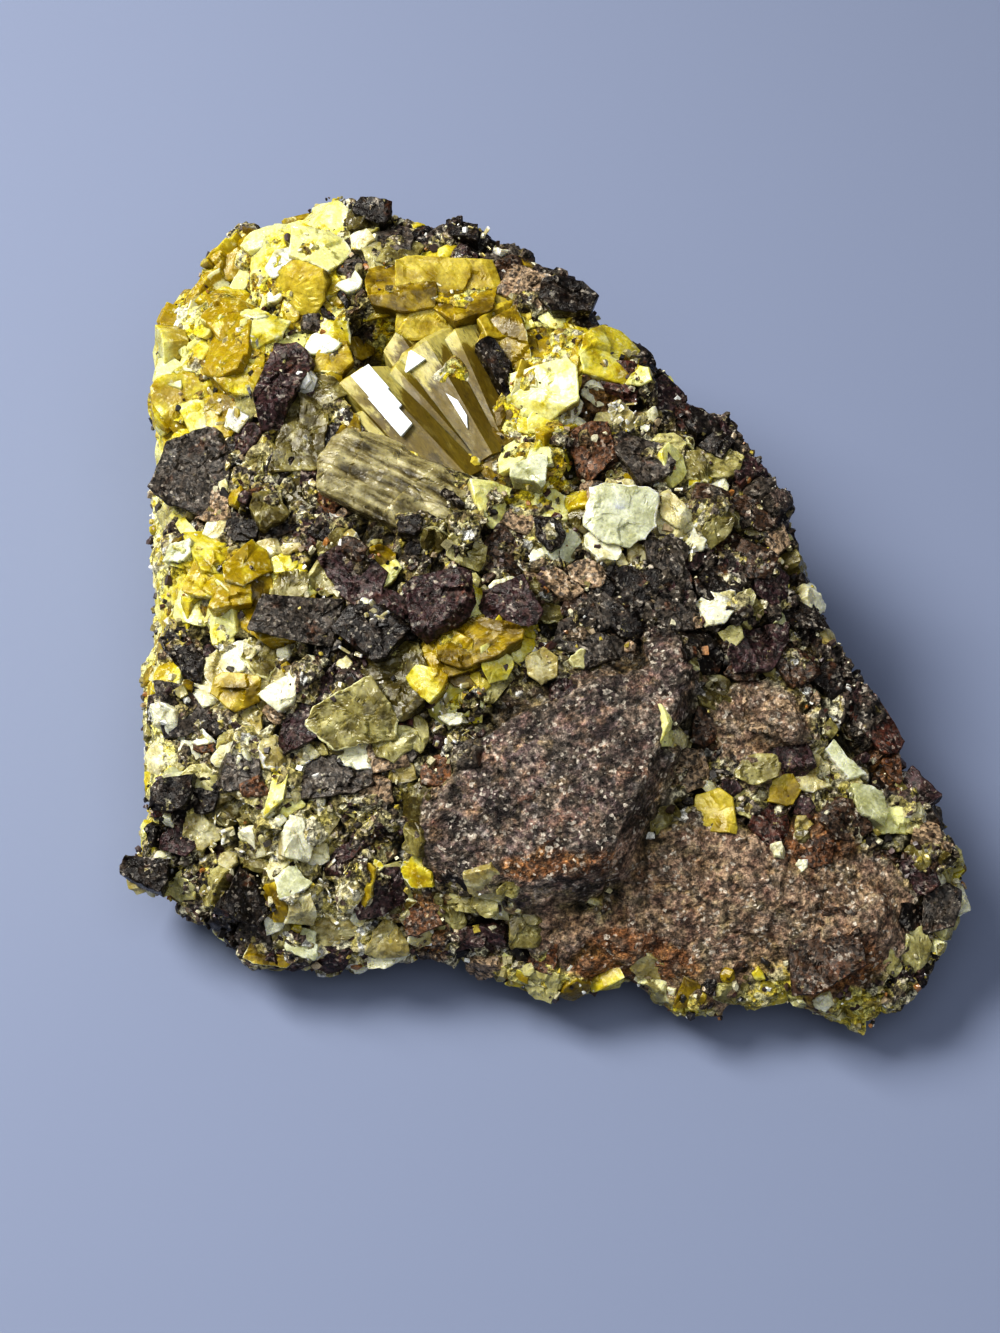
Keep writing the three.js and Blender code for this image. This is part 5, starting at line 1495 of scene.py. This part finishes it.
def painted_glints(rock, great, rng):
    """Thin bright facets whose bluish white is a painted reflection; they lie on the great prisms, or on the
    rock beside them.
    """
    faces = [list(face) for block in great["faces"] for face in block]
    tree = BVHTree.FromPolygons(great["vertices"].tolist(), faces)
    grains = []
    for x, y, length, width, bearing, lift, begins, ends in PAINTED_GLINTS:
        point, normal = seen_from_above(tree, x, y)
        if point is None:
            point, normal = seen_from_above(rock.tree, x, y)
        corners = np.array([(0.0, 0.0), (1.0, 0.0), (ends, 1.0), (begins, 1.0)])
        outline = (corners - corners.mean(axis=0)) * np.array([length, width])
        upright = unit(np.array(normal)) * 0.5 + np.array((-0.25, -0.30, 0.9))
        grains.append(Grain(point, upright, in_plan(bearing), outline, STYLES["facet"], lift, 0.8, 0.0, rng))
    return plates(grains, 0.3, 0.04)


def vug_grains(rock, rng):
    """For each tint, the small plates that line the vug and the great facets of its walls."""
    sizes = mostly_small(LINING_TRIES, *LINING_RADII, 2, rng)
    weight = rock.in_vug * step(-0.6, 0.2, rock.normals[:, 2])
    points, normals, radii, _ = packed_places(rock, weight, sizes, rng, lambda places, _: in_the_way(places))
    normals = unit(normals + rng.normal(size=normals.shape) * 0.15)
    along = square_to(normals, rng.normal(size=normals.shape))
    outlines = cell_outlines(points, normals, along, radii, rng, np.full(len(radii), -0.12))
    grains = {}
    for k, outline in enumerate(outlines):
        # Painted shade: the lower a lining plate lies in the vug, the deeper its tone.
        depth = step(*VUG_SHADE_HEIGHTS, points[k][2])
        tint = list(LINING_TINTS)[rng.choice(len(LINING_TINTS), p=list(LINING_TINTS.values()))]
        tone = rng.uniform(0.05, 0.8) * (1 - 0.8 * depth)
        grain = Grain(points[k] * MM, normals[k], along[k], outline, STYLES["block"],
                      rng.uniform(-0.25, 0.15), tone, 0.6, rng)
        grains.setdefault(tint, []).append(grain)
    style = dict(STYLES["block"], depth=2.0, broken=(0.10, 0.04), cap=0.05)
    for x, y, z, length, width, way, tone, tint in VUG_BLOCKS:
        outline = angular_outline(length, width, rng, 6, 0.75)
        block = Grain(np.array((x, y, z)) * MM, way, in_plan(0), outline, style, 0.0, tone, 0.4, rng)
        grains.setdefault(tint, []).append(block)
    return grains


def make_vug(rock, materials):
    rng = np.random.default_rng(200)
    parts = [(tint, plates(group, 0.25)) for tint, group in vug_grains(rock, rng).items()]
    great = great_prisms(rng)
    parts += [("honey", great), ("glint", painted_glints(rock, great, rng))]
    place, upright, forward, length, width, rise = VUG_LATH
    lath = Grain(np.array(place) * MM, upright, np.array(forward), angular_outline(length, width, rng),
                 STYLES["clast"], rise, clast_tone("black"), 0.3, rng)
    parts.append(("clast", plates([lath], 0.2)))
    piece("vug_lining", parts, materials, ["vug_crystal_crust"])
    piece("striated_mass", [("straw", striated_mass())], materials, ["striated_bundle"])


def make_shards(rock, materials):
    rng = np.random.default_rng(280)
    feet, axes, widths, lengths = [], [], [], []
    for x, y, reach, count in SHARD_NESTS:
        for _ in range(count):
            from_middle = rng.normal() * reach * 0.5, rng.normal() * reach * 0.5
            point, normal = seen_from_above(rock.tree, x + from_middle[0], y + from_middle[1])
            if point is not None:
                feet.append(point)
                axes.append(np.array(normal) * 0.25 + rng.normal(size=3) * (0.9, 0.9, 0.35))
                widths.append(rng.uniform(*SHARD_WIDTHS))
                lengths.append(rng.uniform(*SHARD_LENGTHS))
    shards = prisms(np.array(feet), unit(np.array(axes)), np.array(widths) * MM, np.array(lengths) * MM, rng,
                    flat=0.45)
    feet, widths, lengths, tones = (np.array(column) for column in zip(*HEXAGONS))
    toward_viewer = unit(np.array([HEXAGON_WAY] * len(feet)))
    hexagon = prisms(feet * MM, toward_viewer, widths * MM, lengths * MM, rng, tones, uneven=0.03, slant=0.0,
                     bevel=0.08)
    piece("shards", [("crisp", shards), ("crisp", hexagon)], materials)


def make_grains(rock):
    """The finest chips, strewn over the plated surface."""
    for number, (name, (count, stops, gloss, slot)) in enumerate(LOOSE_GRAINS.items()):
        rng = np.random.default_rng(301 + number)
        points, normals, _ = scattered(rock, rock.plated, count, rng)
        axes = unit(normals + 0.8 * rng.normal(size=normals.shape))
        base = mostly_small(count, *GRAIN_SIZES, 2.5, rng)
        sizes = base[:, None] * rng.uniform(0.6, 1.4, (count, 3)) * MM
        materials = {"grains": grain_material(name[:-1], stops, gloss)}
        piece(name, [("grains", chips(points, axes, sizes, rng))], materials)


def main():
    make_studio()
    rock = make_rock()
    materials = make_materials()
    make_plates(rock, materials)
    make_vug(rock, materials)
    make_shards(rock, materials)
    make_grains(rock)


main()
